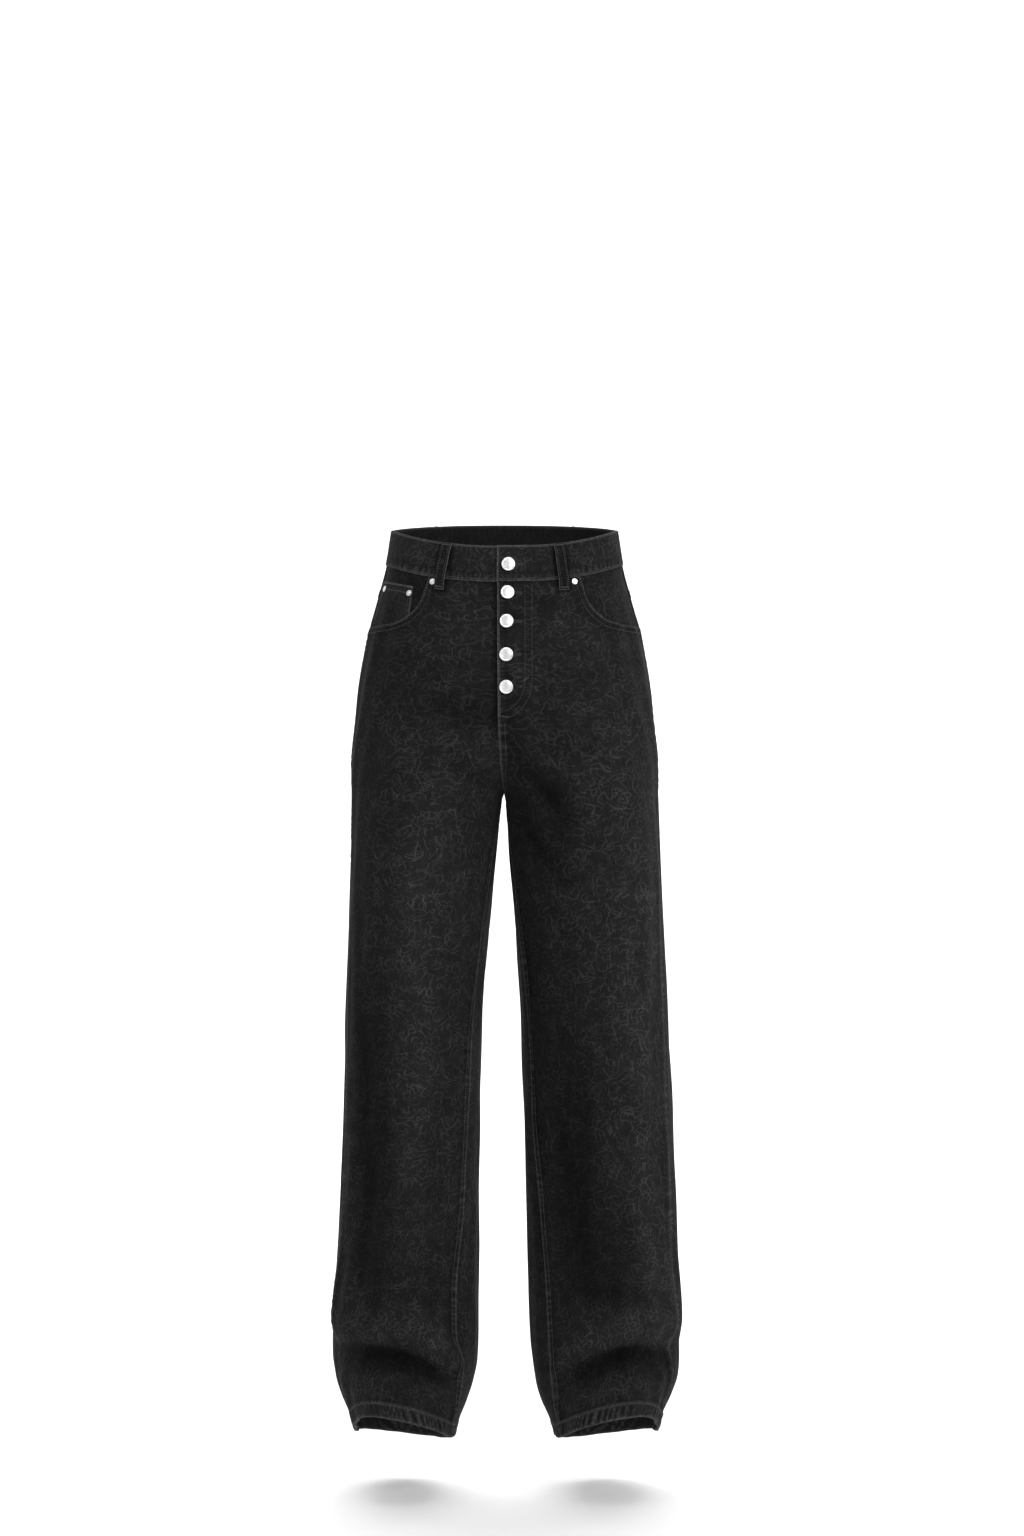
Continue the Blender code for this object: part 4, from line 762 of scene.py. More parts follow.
# ------------------------------------------------------------- finishes
class Bench:
    """A short way to wire a material's nodes."""

    def __init__(self, name: str) -> None:
        """Start a material with its shader."""
        self.material = bpy.data.materials.new(name)
        self.material.use_nodes = True
        self.tree = self.material.node_tree
        self.shader = self.tree.nodes["Principled BSDF"]

    def node(self, kind: str, out: int = 0, ins: Optional[dict] = None, **settings: object) -> Socket:
        """Add a node.

        Args:
            kind: The node's type, without its usual prefix.
            out: Which output to give back.
            ins: Values or sockets for its inputs.
            settings: Properties of the node.

        Returns:
            The chosen output.
        """
        node = self.tree.nodes.new("ShaderNode" + kind)
        for key, value in settings.items():
            setattr(node, key, value)
        for key, value in (ins or {}).items():
            self.plug(value, node.inputs[key])
        return node.outputs[out]

    def plug(self, value: object, socket: Socket) -> None:
        """Link a socket, or set a plain value."""
        if isinstance(value, Socket):
            self.tree.links.new(value, socket)
        else:
            socket.default_value = value

    def math(self, operation: str, *values: object) -> Socket:
        """One step of arithmetic."""
        return self.node("Math", ins=dict(enumerate(values)), operation=operation)

    def times(self, value: object, *factors: object) -> Socket:
        """The product of all values."""
        for factor in factors:
            value = self.math("MULTIPLY", value, factor)
        return value

    def step(
        self, value: object, low: float, high: float, to_low: float = 0.0, to_high: float = 1.0
    ) -> Socket:
        """A smooth step from to_low to to_high."""
        ins = {"Value": value, "From Min": low, "From Max": high, "To Min": to_low, "To Max": to_high}
        return self.node("MapRange", ins=ins, interpolation_type="SMOOTHSTEP")

    def noise(self, place: object, scale: float, detail: float = 2.0, out: int = 0) -> Socket:
        """Soft random values at a scale given in features a metre."""
        return self.node("TexNoise", out=out, ins={"Vector": place, "Scale": scale, "Detail": detail})

    def shift(self, place: object, x: float = 0.0, y: float = 0.0, scale: tuple = (1.0, 1.0, 1.0)) -> Socket:
        """Another part of the same pattern."""
        return self.node("Mapping", ins={"Vector": place, "Location": (x, y, 0.0), "Scale": scale})

    def scaled(self, vector: object, by: object) -> Socket:
        """A vector or a colour times a number."""
        return self.node("VectorMath", ins={0: vector, "Scale": by}, operation="SCALE")

    def bent(self, place: object, scale: float, detail: float, reach: float) -> Socket:
        """Places pushed about by noise, so that straight patterns bend."""
        wobble = self.noise(place, scale, detail, out=1)
        wobble = self.node("VectorMath", ins={0: wobble, 1: (0.5, 0.5, 0.5)}, operation="SUBTRACT")
        return self.node("VectorMath", ins={0: place, 1: self.scaled(wobble, reach)}, operation="ADD")

    def bump(self, height: object, strength: float, distance: float, **below: object) -> Socket:
        """Fine relief from a height."""
        return self.node("Bump", ins={"Strength": strength, "Distance": distance, "Height": height, **below})

    def finish(
        self, colour: object, rough: object, bump: Optional[Socket] = None, **fixed: object
    ) -> Material:
        """Set the shader's own sockets and give the material back."""
        self.plug(colour, self.shader.inputs["Base Color"])
        self.plug(rough, self.shader.inputs["Roughness"])
        if bump is not None:
            self.plug(bump, self.shader.inputs["Normal"])
        for key, value in fixed.items():
            self.shader.inputs[key.replace("_", " ")].default_value = value
        return self.material


@dataclass(frozen=True)
class DenimFinish:
    """Washed black twill with faint crinkle lines that the finish left at random."""

    name: str = "washed_black_denim"
    depth: float = 0.0092
    tint: tuple = (1.0, 1.005, 1.045)
    line_gain: float = 1.60
    line_half: tuple = (0.0002, 0.0009)
    worn_gain: float = 0.080
    grain_gain: float = 0.50
    twill_pitch: float = 0.0011
    sheen: float = 0.02
    # seed, distance between middles and distance between arcs of each set of nests
    nests: tuple = ((0.9, 0.026, 0.0062), (5.3, 0.019, 0.0055), (9.1, 0.033, 0.0075))

    def stroke(self, bench: Bench, edge: Socket, pitch: float) -> Socket:
        """1 on a line and 0 off it, where edge is the distance from it in pitches."""
        low, high = self.line_half
        return bench.step(edge, low / pitch, high / pitch, 1.0, 0.0)

    def lines(self, bench: Bench, place: object, seed: float, size: float, reach: float) -> Socket:
        """Short bent strokes, from a random net that is broken up by noise.

        Args:
            bench: Where the nodes go.
            place: Places on the cloth in metres.
            seed: Chooses another part of the pattern.
            size: Usual distance between strokes.
            reach: How far the net is bent.

        Returns:
            1 on a stroke and 0 off it.
        """
        spot = bench.shift(place, seed, 2.0 * seed)
        edge = bench.node(
            "TexVoronoi",
            ins={"Vector": bench.bent(spot, 0.62 / size, 1.5, reach), "Scale": 1.0 / size, "Randomness": 1.0},
            feature="DISTANCE_TO_EDGE",
            voronoi_dimensions="2D",
        )
        broken = bench.step(bench.noise(bench.shift(spot, 3.1, 0.7), 1.25 / size, 0.5), 0.47, 0.55)
        return bench.times(self.stroke(bench, edge, size), broken)

    def arcs(self, bench: Bench, place: object, seed: float, cell: float, gap: float) -> Socket:
        """Nests of parallel bent arcs: rings round random middles, cut short by noise.

        Args:
            bench: Where the nodes go.
            place: Places on the cloth in metres.
            seed: Chooses another part of the pattern.
            cell: Usual distance between the middles.
            gap: Distance between parallel arcs.

        Returns:
            1 on an arc and 0 off it.
        """
        spot = bench.shift(place, seed, 3.0 * seed)
        bent = bench.bent(spot, 0.9 / cell, 1.0, 0.9 * cell)
        reach = bench.node("TexVoronoi", ins={"Vector": bent, "Scale": 1.0 / cell}, voronoi_dimensions="2D")
        rings = bench.math("PINGPONG", bench.times(reach, cell / gap), 0.5)
        short = bench.step(bench.noise(bench.shift(spot, 1.7, 4.1), 1.5 / cell, 0.8), 0.49, 0.56)
        return bench.times(self.stroke(bench, rings, gap), short)

    def strokes(self, bench: Bench, place: object) -> Socket:
        """All crinkle lines, paler here and there."""
        total = bench.times(self.lines(bench, place, 0.37, 0.016, 0.022), 0.8)
        for seed, cell, gap in self.nests:
            total = bench.math("MAXIMUM", total, self.arcs(bench, place, seed, cell, gap))
        fading = bench.step(bench.noise(bench.shift(place, 1.3, 8.2), 22.0, 1.0), 0.34, 0.58, 0.62, 1.0)
        return bench.times(total, fading)

    def material(self) -> Material:
        """Build the denim."""
        bench = Bench(self.name)
        place = bench.node("UVMap", uv_map="cloth")
        worn = bench.node("Attribute", out=2, attribute_name="worn")
        tone = bench.node("Attribute", out=2, attribute_name="tone")
        strokes = self.strokes(bench, place)
        twill = bench.node(
            "TexWave",
            ins={
                "Vector": bench.shift(place, scale=(1.0, 0.62, 1.0)),
                "Scale": 0.444 / self.twill_pitch,
                "Distortion": 0.6,
                "Detail": 1.0,
            },
            bands_direction="DIAGONAL",
        )
        grain = bench.noise(place, 620.0)
        slub = bench.noise(bench.shift(place, scale=(1.0, 0.22, 1.0)), 300.0)
        mottle = bench.noise(place, 38.0, 3.0)
        cloud = bench.noise(bench.shift(place, 2.0, 6.0), 7.0)
        half = 0.5 * self.grain_gain
        value = bench.times(
            tone,
            self.depth,
            bench.step(mottle, 0.25, 0.75, 0.82, 1.18),
            bench.step(cloud, 0.30, 0.70, 0.90, 1.10),
            bench.step(grain, 0.30, 0.70, 1.0 - half, 1.0 + half),
            bench.step(slub, 0.30, 0.70, 0.84, 1.16),
            bench.step(twill, 0.0, 1.0, 0.80, 1.20),
            bench.math("MULTIPLY_ADD", strokes, self.line_gain, 1.0),
        )
        # worn carries edge wear and painted highlight on pucker crests; tone carries wash and painted light
        # and shade
        rub = bench.times(worn, bench.step(bench.noise(place, 240.0), 0.30, 0.66, 0.45, 1.1), self.worn_gain)
        colour = bench.scaled(self.tint, bench.math("ADD", value, rub))
        weave = bench.math("ADD", bench.times(twill, 0.5), bench.times(grain, 0.9))
        raised = bench.bump(strokes, 0.7, 0.00045, Normal=bench.bump(weave, 0.55, 0.00022))
        rough = bench.step(mottle, 0.2, 0.8, 0.84, 0.96)
        return bench.finish(
            colour, rough, raised, Specular_IOR_Level=0.06, Sheen_Weight=self.sheen, Sheen_Roughness=0.55
        )


@dataclass(frozen=True)
class ThreadFinish:
    """Charcoal sewing thread with a twist."""

    name: str = "charcoal_thread"
    shade: float = 0.034

    def material(self) -> Material:
        """Build the thread."""
        bench = Bench(self.name)
        place = bench.node("TexCoord", out=3)
        fuzz = bench.noise(place, 900.0)
        shade = bench.step(fuzz, 0.3, 0.7, self.shade * 0.7, self.shade * 1.35)
        colour = bench.scaled((1.0, 1.0, 1.03), shade)
        twist = bench.node("TexWave", ins={"Vector": place, "Scale": 700.0}, bands_direction="DIAGONAL")
        rough = bench.step(fuzz, 0.3, 0.7, 0.6, 0.8)
        bump = bench.bump(twist, 0.4, 0.0002)
        return bench.finish(colour, rough, bump, Specular_IOR_Level=0.3, Sheen_Weight=0.1)


@dataclass(frozen=True)
class MetalFinish:
    """Bright plain nickel with fine wear."""

    name: str = "bright_nickel"
    shade: tuple = (0.93, 0.93, 0.92)

    def material(self) -> Material:
        """Build the metal."""
        bench = Bench(self.name)
        place = bench.node("TexCoord", out=3)
        haze = bench.noise(place, 300.0)
        scuff = bench.noise(bench.shift(place, scale=(1.0, 1.0, 0.15)), 2200.0)
        colour = bench.scaled(self.shade, bench.step(haze, 0.3, 0.7, 0.92, 1.04))
        dull = bench.step(haze, 0.3, 0.7, 0.30, 0.36)
        rough = bench.math("ADD", dull, bench.step(scuff, 0.62, 0.75, 0.0, 0.08))
        return bench.finish(colour, rough, bench.bump(scuff, 0.05, 0.00004), Metallic=1.0)


@dataclass
class Finishes:
    """One of each material, shared by all pieces, and the cuts of the sheets made so far."""

    denim: Material = field(default_factory=lambda: DenimFinish().material())
    reverse: Material = field(
        default_factory=lambda: DenimFinish("denim_reverse", 0.011, line_gain=0.2, grain_gain=0.7).material()
    )
    thread: Material = field(default_factory=lambda: ThreadFinish().material())
    # a near-black thread that stands for the painted shadow inside each buttonhole's slit
    shadow_thread: Material = field(default_factory=lambda: ThreadFinish("black_thread", 0.006).material())
    metal: Material = field(default_factory=lambda: MetalFinish().material())
    cuts: dict = field(default_factory=dict)


# ------------------------------------------------------------- making meshes
def make_object(
    name: str,
    points: Array,
    faces: list,
    materials: Sequence[Material],
    kinds: Optional[Array] = None,
    sharp: float = 50.0,
) -> Thing:
    """A mesh object of the garment that rides on its body.

    Args:
        name: The piece's name.
        points: Its points.
        faces: Lists of point numbers.
        materials: Its materials.
        kinds: Which material each face takes.
        sharp: Edges that turn by more degrees stay sharp.

    Returns:
        The new object.
    """
    mesh = bpy.data.meshes.new(name)
    mesh.from_pydata(points.reshape(-1, 3).tolist(), [], faces)
    for material in materials:
        mesh.materials.append(material)
    if kinds is not None:
        mesh.polygons.foreach_set("material_index", np.asarray(kinds, np.int32))
    mesh.shade_smooth()
    mesh.set_sharp_from_angle(angle=math.radians(sharp))
    piece = bpy.data.objects.new(name, mesh)
    bpy.context.scene.collection.objects.link(piece)
    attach(piece, BODY)
    LOG.info("%s: %d triangles", name, sum(len(f) - 2 for f in faces))
    return piece


class Cut(NamedTuple):
    """Flat size of a piece's cut in metres and its area in square metres."""

    width: float
    length: float
    area: float


@dataclass
class ClothWall:
    """Rows of points on both faces of a cloth wall, with what the finish needs."""

    outer: Array
    inner: Array
    place: Array
    # worn: edge wear, with painted highlight on pucker crests; tone: wash, with painted light and shade
    worn: Array
    tone: Array

    def cut(self) -> Cut:
        """The flat cut: the widest row, the longest column and the outer face's area."""
        grid = self.outer
        width = np.linalg.norm(np.diff(grid, axis=1), axis=-1).sum(1).max()
        length = np.linalg.norm(np.diff(grid, axis=0), axis=-1).sum(0).max()
        corners = np.cross(grid[1:, 1:] - grid[:-1, :-1], grid[1:, :-1] - grid[:-1, 1:])
        return Cut(float(width), float(length), 0.5 * float(np.linalg.norm(corners, axis=-1).sum()))

    def build(self, name: str, finishes: Finishes) -> Thing:
        """Close the wall round its edges and dress it."""
        finishes.cuts[name] = self.cut()
        rows, columns = self.outer.shape[:2]
        number = np.arange(rows * columns).reshape(rows, columns)
        back = number + rows * columns
        corners = (
            (number[:-1, :-1], number[:-1, 1:], number[1:, 1:], number[1:, :-1]),
            (back[:-1, :-1], back[1:, :-1], back[1:, 1:], back[:-1, 1:]),
            (number[0, 1:], number[0, :-1], back[0, :-1], back[0, 1:]),
            (number[-1, :-1], number[-1, 1:], back[-1, 1:], back[-1, :-1]),
            (number[:-1, 0], number[1:, 0], back[1:, 0], back[:-1, 0]),
            (number[1:, -1], number[:-1, -1], back[:-1, -1], back[1:, -1]),
        )
        faces = np.concatenate([np.stack(four, -1).reshape(-1, 4) for four in corners])
        kinds = np.zeros(len(faces), int)
        each = (rows - 1) * (columns - 1)
        kinds[each:2 * each] = 1
        points = np.concatenate([self.outer.reshape(-1, 3), self.inner.reshape(-1, 3)])
        a, b, c, d = (points[faces[:, k]] for k in range(4))
        volume = np.einsum("ij,ij->", a, np.cross(b, c)) + np.einsum("ij,ij->", a, np.cross(c, d))
        if volume < 0.0:
            faces = faces[:, ::-1]
        piece = make_object(name, points, faces.tolist(), (finishes.denim, finishes.reverse), kinds)
        mesh = piece.data
        place = np.concatenate([self.place.reshape(-1, 2)] * 2)
        spots = np.empty(len(mesh.loops), np.int32)
        mesh.loops.foreach_get("vertex_index", spots)
        mesh.uv_layers.new(name="cloth").data.foreach_set("uv", place[spots].astype(np.float32).ravel())
        even = np.ones(self.tone.size)
        for word, values, inside in (("worn", self.worn, self.worn), ("tone", self.tone, even)):
            both = np.concatenate([values.ravel(), inside.ravel()])
            mesh.attributes.new(word, "FLOAT", "POINT").data.foreach_set("value", both.astype(np.float32))
        return piece


@dataclass
class Sewing:
    """Stitches gathered into one piece."""

    thread_radius: float = 0.00036
    pitch: float = 0.0034
    length: float = 0.0026
    sunk: float = 0.00008
    zigzag_pitch: float = 0.0008
    hole_pitch: float = 0.0009
    points: list = field(default_factory=list)
    faces: list = field(default_factory=list)
    kinds: list = field(default_factory=list)
    count: int = 0

    def capsules(
        self, middle: Array, along: Array, normal: Array, length: Array, radius: float, kind: int = 0
    ) -> None:
        """Add short threads that lie on the cloth.

        Args:
            middle: Their middles.
            along: Their directions.
            normal: The cloth's outward directions there.
            length: Their lengths.
            radius: The thread's radius.
            kind: 0 for usual thread, 1 for the dark one that paints the shadow in a buttonhole's slit.
        """
        along = unit(along)
        side = unit(np.cross(normal, along))
        up = np.cross(along, side)
        turns = np.radians([90.0, 162.0, 234.0, 306.0, 18.0])
        ring = np.stack([np.zeros(5), np.cos(turns), 0.8 * np.sin(turns)], -1) * radius
        half = 0.5 * np.broadcast_to(length, (len(middle),))[:, None]

        def at(share: float, offset: Array) -> Array:
            """Points at a share of half the length from the middle, offset across the thread."""
            base = middle + along * half * share
            return base + side * offset[1] + up * (offset[2] - 0.35 * radius * (abs(share) > 0.9))

        tips = [at(-1.0, np.zeros(3))] + [at(-0.62, r) for r in ring] + [at(0.62, r) for r in ring]
        tips.append(at(1.0, np.zeros(3)))
        base = self.count + 12 * np.arange(len(middle))[:, None]
        pairs = [(k, (k + 1) % 5) for k in range(5)]
        faces = [(1 + k, 6 + k, 6 + n, 1 + n) for k, n in pairs]
        faces += [(0, 1 + k, 1 + n) for k, n in pairs] + [(11, 6 + n, 6 + k) for k, n in pairs]
        for face in faces:
            rows = (base + np.array(face)[None, :]).tolist()
            self.faces.extend(rows)
            self.kinds.extend([kind] * len(rows))
        self.points.append(np.stack(tips, 1).reshape(-1, 3))
        self.count += 12 * len(middle)

    def row(self, points: Array, normals: Array) -> None:
        """A row of stitches along a path on the cloth."""
        run = running_total(np.linalg.norm(np.diff(points, axis=0), axis=1))
        total = max(1, int(run[-1] / self.pitch))
        at = (np.arange(total) + 0.5) * run[-1] / total

        def read(values: Array, shift: float = 0.0) -> Array:
            """Values at each stitch, or a little way along from it."""
            return np.stack([np.interp(at + shift, run, values[:, k]) for k in range(3)], -1)

        normal = unit(read(normals))
        middle = read(points) + normal * (0.8 * self.thread_radius - self.sunk)
        along = read(points, 0.0006) - read(points, -0.0006)
        self.capsules(middle, along, normal, self.length, self.thread_radius)

    def bartack(
        self, point: Array, along: Array, normal: Array, length: float = 0.010, width: float = 0.0024
    ) -> None:
        """A close zigzag that secures a corner."""
        along = unit(along)
        normal = unit(normal)
        side = unit(np.cross(normal, along))
        count = int(length / self.zigzag_pitch)
        at = (np.arange(count) + 0.5) / count - 0.5
        middle = point + along * (at * length)[:, None] + normal * 0.0005
        lean = side + along * np.where(np.arange(count) % 2 == 0, 0.22, -0.22)[:, None]
        self.capsules(middle, lean, np.broadcast_to(normal, middle.shape), width, 0.00034)

    def buttonhole(self, eye: Array, along: Array, normal: Array, length: float) -> None:
        """A worked keyhole: close stitches round a slit, whose shadow is painted as a dark thread."""
        along = unit(along)
        normal = unit(normal)
        side = unit(np.cross(normal, along))
        count = int(length / self.hole_pitch)
        at = (np.arange(count) + 0.5) / count * length
        wide = 0.0013 + 0.0009 * bell(at, 0.0022, 0.0022)
        for edge in (-1.0, 1.0):
            middle = eye + along * at[:, None] + side * (edge * wide)[:, None] + normal * 0.0003
            lean = side + along * 0.12
            self.capsules(middle, lean, np.broadcast_to(normal, middle.shape), 0.0018, 0.00032)
        tip = eye + along * (length + 0.0006) + normal * 0.0003
        self.capsules(tip[None], side[None], normal[None], 0.0036, 0.0004)
        slit = eye + along * (0.5 * length) + normal * 0.00025
        # painted shadow: a near-black capsule fills the slit
        self.capsules(slit[None], along[None], normal[None], length, 0.00090, 1)

    def build(self, name: str, finishes: Finishes) -> Thing:
        """One piece of all the threads gathered."""
        threads = (finishes.thread, finishes.shadow_thread)
        piece = make_object(name, np.concatenate(self.points), self.faces, threads, self.kinds, 80.0)
        return piece


def dressed(name: str, wall: ClothWall, sewing: Optional[Sewing], finishes: Finishes) -> list:
    """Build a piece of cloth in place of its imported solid, and its stitches."""
    piece = wall.build(name + "_cloth", finishes)
    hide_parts(name)
    if sewing is None:
        return [piece]
    return [piece, sewing.build(name + "_stitches", finishes)]


def turned(name: str, profile: Array, steps: int, point: Array, normal: Array, finishes: Finishes) -> None:
    """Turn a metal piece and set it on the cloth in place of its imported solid.

    Args:
        name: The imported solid's name.
        profile: Radius and height from its middle to its foot.
        steps: Points round it.
        point: Where its foot is.
        normal: Where it faces.
        finishes: The materials.
    """
    turn = np.linspace(0.0, 2.0 * math.pi, steps, endpoint=False)
    rings = profile[1:-1]
    radius = rings[:, None, 0]
    body = np.stack([radius * np.cos(turn), radius * np.sin(turn), np.repeat(rings[:, 1:2], steps, 1)], -1)
    top = np.array([[0.0, 0.0, profile[0, 1]]])
    foot = np.array([[0.0, 0.0, profile[-1, 1]]])
    points = np.concatenate([top, body.reshape(-1, 3), foot])
    faces = []
    lowest = 1 + (len(rings) - 1) * steps
    for k in range(steps):
        n = (k + 1) % steps
        faces.append((0, 1 + k, 1 + n))
        for a in range(1, lowest, steps):
            faces.append((a + k, a + steps + k, a + steps + n, a + n))
        faces.append((lowest + k, len(points) - 1, lowest + n))
    spin = np.array(Vector(normal).to_track_quat("Z", "Y").to_matrix())
    piece = make_object(name + "_metal", points @ spin.T + point, faces, (finishes.metal,), None, 40.0)
    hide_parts(name)


# ------------------------------------------------------------- legs
@dataclass
class SidePiece:
    """A piece of cloth on one side of the worn form."""

    form: WornForm
    side: Side
    title: str = ""

    def name(self) -> str:
        """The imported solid's name."""
        return f"{self.title}_{self.side.name.lower()}"

    def place(self, angle: Array, level: Array) -> Array:
        """Smooth outer face."""
        return self.form.surface(self.side, angle, level)

    def normal(self, angle: Array, level: Array) -> Array:
        """Outward unit normals of the smooth face."""
        return self.form.normals(self.place, angle, level, self.side)

    def inset(self, level: Array) -> Array:
        """Angle by which a piece stops short of a seam."""
        return np.degrees(HALF_GAP / self.form.leg_half[self.side](level))

    def side_seam(self, level: Array) -> Array:
        """Angle of the outseam."""
        return self.form.out_angle[self.side](level)

    def seat_edge(self, level: Array) -> Array:
        """Angle of the edge at the centre back seam."""
        return self.form.centre[self.side, Face.BACK](level) + self.inset(level)


@dataclass
class LegPanel(SidePiece):
    """What fronts and backs share: edges, seam relief, hem and finish."""

    columns: int = 84
    face: Face = Face.FRONT
    fell_width: float = 0.0095
    fell_height: float = 0.0006
    fell_wave: float = 0.00030
    seam_wave: float = 0.00042
    hem_raise: float = 0.0008
    hem_wave: float = 0.00022
    hem_extra: float = 0.0018
    hem_round: float = 0.0012
    # how much the wall thins at the very hem, outside and inside
    hem_thin: tuple = (0.0007, 0.0006)
    rope_pitch: float = 0.0066
    rope_height: float = 0.00055
    rope_slant: float = 0.30
    hem_row: float = 0.0172

    def __post_init__(self) -> None:
        """Tabulate the inner edge by level, and metres a degree at both edges."""
        self.tables = []
        for rows, edge in (
            (np.linspace(CROTCH_LEVEL + 1e-6, BAND_TOP, 420), self.rise_angle),
            (np.linspace(HEM_LEVEL - 0.002, CROTCH_LEVEL, 420), self.inseam_angle),
        ):
            inner = edge(rows)
            outer = self.outer(rows)
            toward = 2.0 * np.sign(outer - inner)
            near = self.place(inner + toward, rows) - self.place(inner, rows)
            far = self.place(outer - toward, rows) - self.place(outer, rows)
            near, far = (np.linalg.norm(span, axis=-1) / 2.0 for span in (near, far))
            self.tables.append((rows, inner, near, far))

    def pick(self, level: Array, part: int) -> Array:
        """Read a part of the tables: 1 the inner edge, 2 and 3 metres a degree at it and at the outseam."""
        above, below = (np.interp(level, table[0], table[part]) for table in self.tables)
        return np.where(np.asarray(level) > CROTCH_LEVEL, above, below)

    def rise_angle(self, level: Array) -> Array:
        """Angle of the inner edge above the crotch."""
        raise NotImplementedError

    def inseam_angle(self, level: Array) -> Array:
        """Angle of the inner edge below the crotch."""
        raise NotImplementedError

    def inner(self, level: Array) -> Array:
        """Angle of the inner edge."""
        return self.pick(level, 1)

    def outer(self, level: Array) -> Array:
        """Angle of the outseam edge."""
        return self.side_seam(level) + self.face * self.inset(level)

    def across(self, level: Array, share: Array) -> Array:
        """Angle at a share of the way from the outseam to the inner edge."""
        return mix(self.outer(level), self.inner(level), share)

    def from_inner(self, angle: Array, level: Array) -> Array:
        """Distance from the inner edge along the cloth."""
        return np.abs(angle - self.inner(level)) * self.pick(level, 2)

    def from_outer(self, angle: Array, level: Array) -> Array:
        """Distance from the outseam along the cloth."""
        return np.abs(angle - self.outer(level)) * self.pick(level, 3)

    def felled(self, level: Array) -> Array:
        """1 where the inner seam is felled onto this panel."""
        return np.zeros(np.shape(level))

    def relief(self, angle: Array, level: Array) -> Pair:
        """Seam ridges, puckers and the roped hem.

        Args:
            angle: Angles of the places.
            level: Levels of the places.

        Returns:
            Heights off the smooth face, and crests: -1 in a slot, 1 on a ridge.
        """
        seed = 1.7 * int(self.side) + 3.0
        inner_run = self.from_inner(angle, level)
        fell = self.felled(level)
        band = smooth(inner_run, self.fell_width + 0.0012, self.fell_width - 0.0012)
        wave = band * fell * pucker(level, 0.0085, seed)
        beside = bell(inner_run, self.fell_width + 0.004, 0.004) * fell * pucker(level, 0.0098, seed + 1.0)
        quiet = 1.0 - smooth(level, -0.110, -0.060)
        ridge = quiet * bell(self.from_outer(angle, level), 0.0035, 0.0052)
        side_wave = ridge * pucker(level, 0.0105, seed + 2.0)
        height = self.fell_height * band * fell + self.fell_wave * wave + 0.4 * self.seam_wave * beside
        height = height + self.seam_wave * (0.6 * ridge + side_wave)
        crest = 0.75 * wave + 0.35 * beside + 0.75 * side_wave
        up = level - HEM_LEVEL
        hem = smooth(up, HEM_DEPTH + 0.0006, HEM_DEPTH - 0.0022)
        run = np.radians(angle) * HEM_RADIUS
        rope = pucker(run + self.rope_slant * up, self.rope_pitch, seed + 4.0)
        rope = rope * smooth(up, 0.0, 0.004) * smooth(up, HEM_DEPTH - 0.001, HEM_DEPTH - 0.006)
        above = bell(up, HEM_DEPTH + 0.006, 0.006) * pucker(run + 0.1, 0.0100, seed + 5.0)
        height = height + hem * self.hem_raise + self.rope_height * rope + self.hem_wave * above
        return height, crest + 1.1 * rope + 0.25 * above

    def lift(self, points: Array, level: Array) -> Array:
        """Extra distance off the smooth face."""
        return np.zeros(level.shape)

    def wall(self, level: Array) -> Array:
        """Thickness: the hem is turned up twice."""
        return CLOTH + self.hem_extra * smooth(level - HEM_LEVEL, HEM_DEPTH + 0.001, HEM_DEPTH - 0.001)

    def on_cloth(self, angle: Array, level: Array) -> Pair:
        """Points and normals on the finished outer face."""
        base = self.place(angle, level)
        normal = self.normal(angle, level)
        off = self.lift(base, level) + self.relief(angle, level)[0]
        return base + normal * off[..., None], normal

    def cloth(self, angle: Array, level: Array, worn: Array) -> ClothWall:
        """The wall through a grid of places."""
        base = self.place(angle, level)
        normal = self.normal(angle, level)
        lift = self.lift(base, level)
        relief, crest = self.relief(angle, level)
        edge = smooth(level - HEM_LEVEL, self.hem_round, 0.0)
        outer = base + normal * (lift + relief * (1.0 - edge) - self.hem_thin[0] * edge)[..., None]
        inner = base + normal * (lift - self.wall(level) + self.hem_thin[1] * edge)[..., None]
        place = np.stack([np.radians(angle) * LEG_RADIUS + 2.0 * self.side, level], -1)
        tone = self.form.tone(self.side, angle, base) * self.shade(angle, level)
        # painted shade in the pucker slots and painted shadow beside the front belt loops
        tone = tone * (1.0 + 0.62 * np.minimum(crest, 0.0)) * (1.0 - LOOP_DARK * loop_shadow(base, level))
        # edge wear, plus wear and painted highlight on the pucker crests
        rub = np.clip(worn + self.rub(angle, level) + crest_wear_and_highlight(crest), 0.0, 1.2)
        return ClothWall(outer, inner, place, rub, tone)

    def shade(self, angle: Array, level: Array) -> Array:
        """Painted shade in the grooves beside the seams."""
        inner_run = self.from_inner(angle, level)
        groove = 0.40 * self.felled(level) * bell(inner_run, self.fell_width + 0.0015, 0.0020)
        groove = groove + 0.45 * bell(level - HEM_LEVEL, HEM_DEPTH + 0.0015, 0.0022)
        groove = groove + 0.35 * bell(self.from_outer(angle, level), 0.0085, 0.0022) * (level < -0.12)
        return 1.0 - groove

    def rub(self, angle: Array, level: Array) -> Array:
        """Wear on the seams' edges and the hem."""
        up = level - HEM_LEVEL
        seams = self.felled(level) * bell(self.from_inner(angle, level), 0.0, 0.0022) * 0.38
        seams = seams + 0.24 * bell(self.from_outer(angle, level), 0.0, 0.0020)
        return seams + 0.60 * bell(up, 0.0, 0.0024) + 0.32 * bell(up, self.hem_row + 0.0015, 0.0018)

    def seam_row(self, offset: float, top: float, foot: float) -> Pair:
        """Path of stitches beside the inner edge."""
        level = np.linspace(top, foot, max(8, int(abs(top - foot) / 0.003)))
        toward = np.sign(self.outer(level) - self.inner(level))
        return self.on_cloth(self.inner(level) + toward * offset / self.pick(level, 2), level)

    def hem_stitches(self) -> Pair:
        """Path of the hem's row."""
        level = np.full(120, HEM_LEVEL + self.hem_row)
        return self.on_cloth(self.across(level, np.linspace(0.004, 0.996, 120)), level)

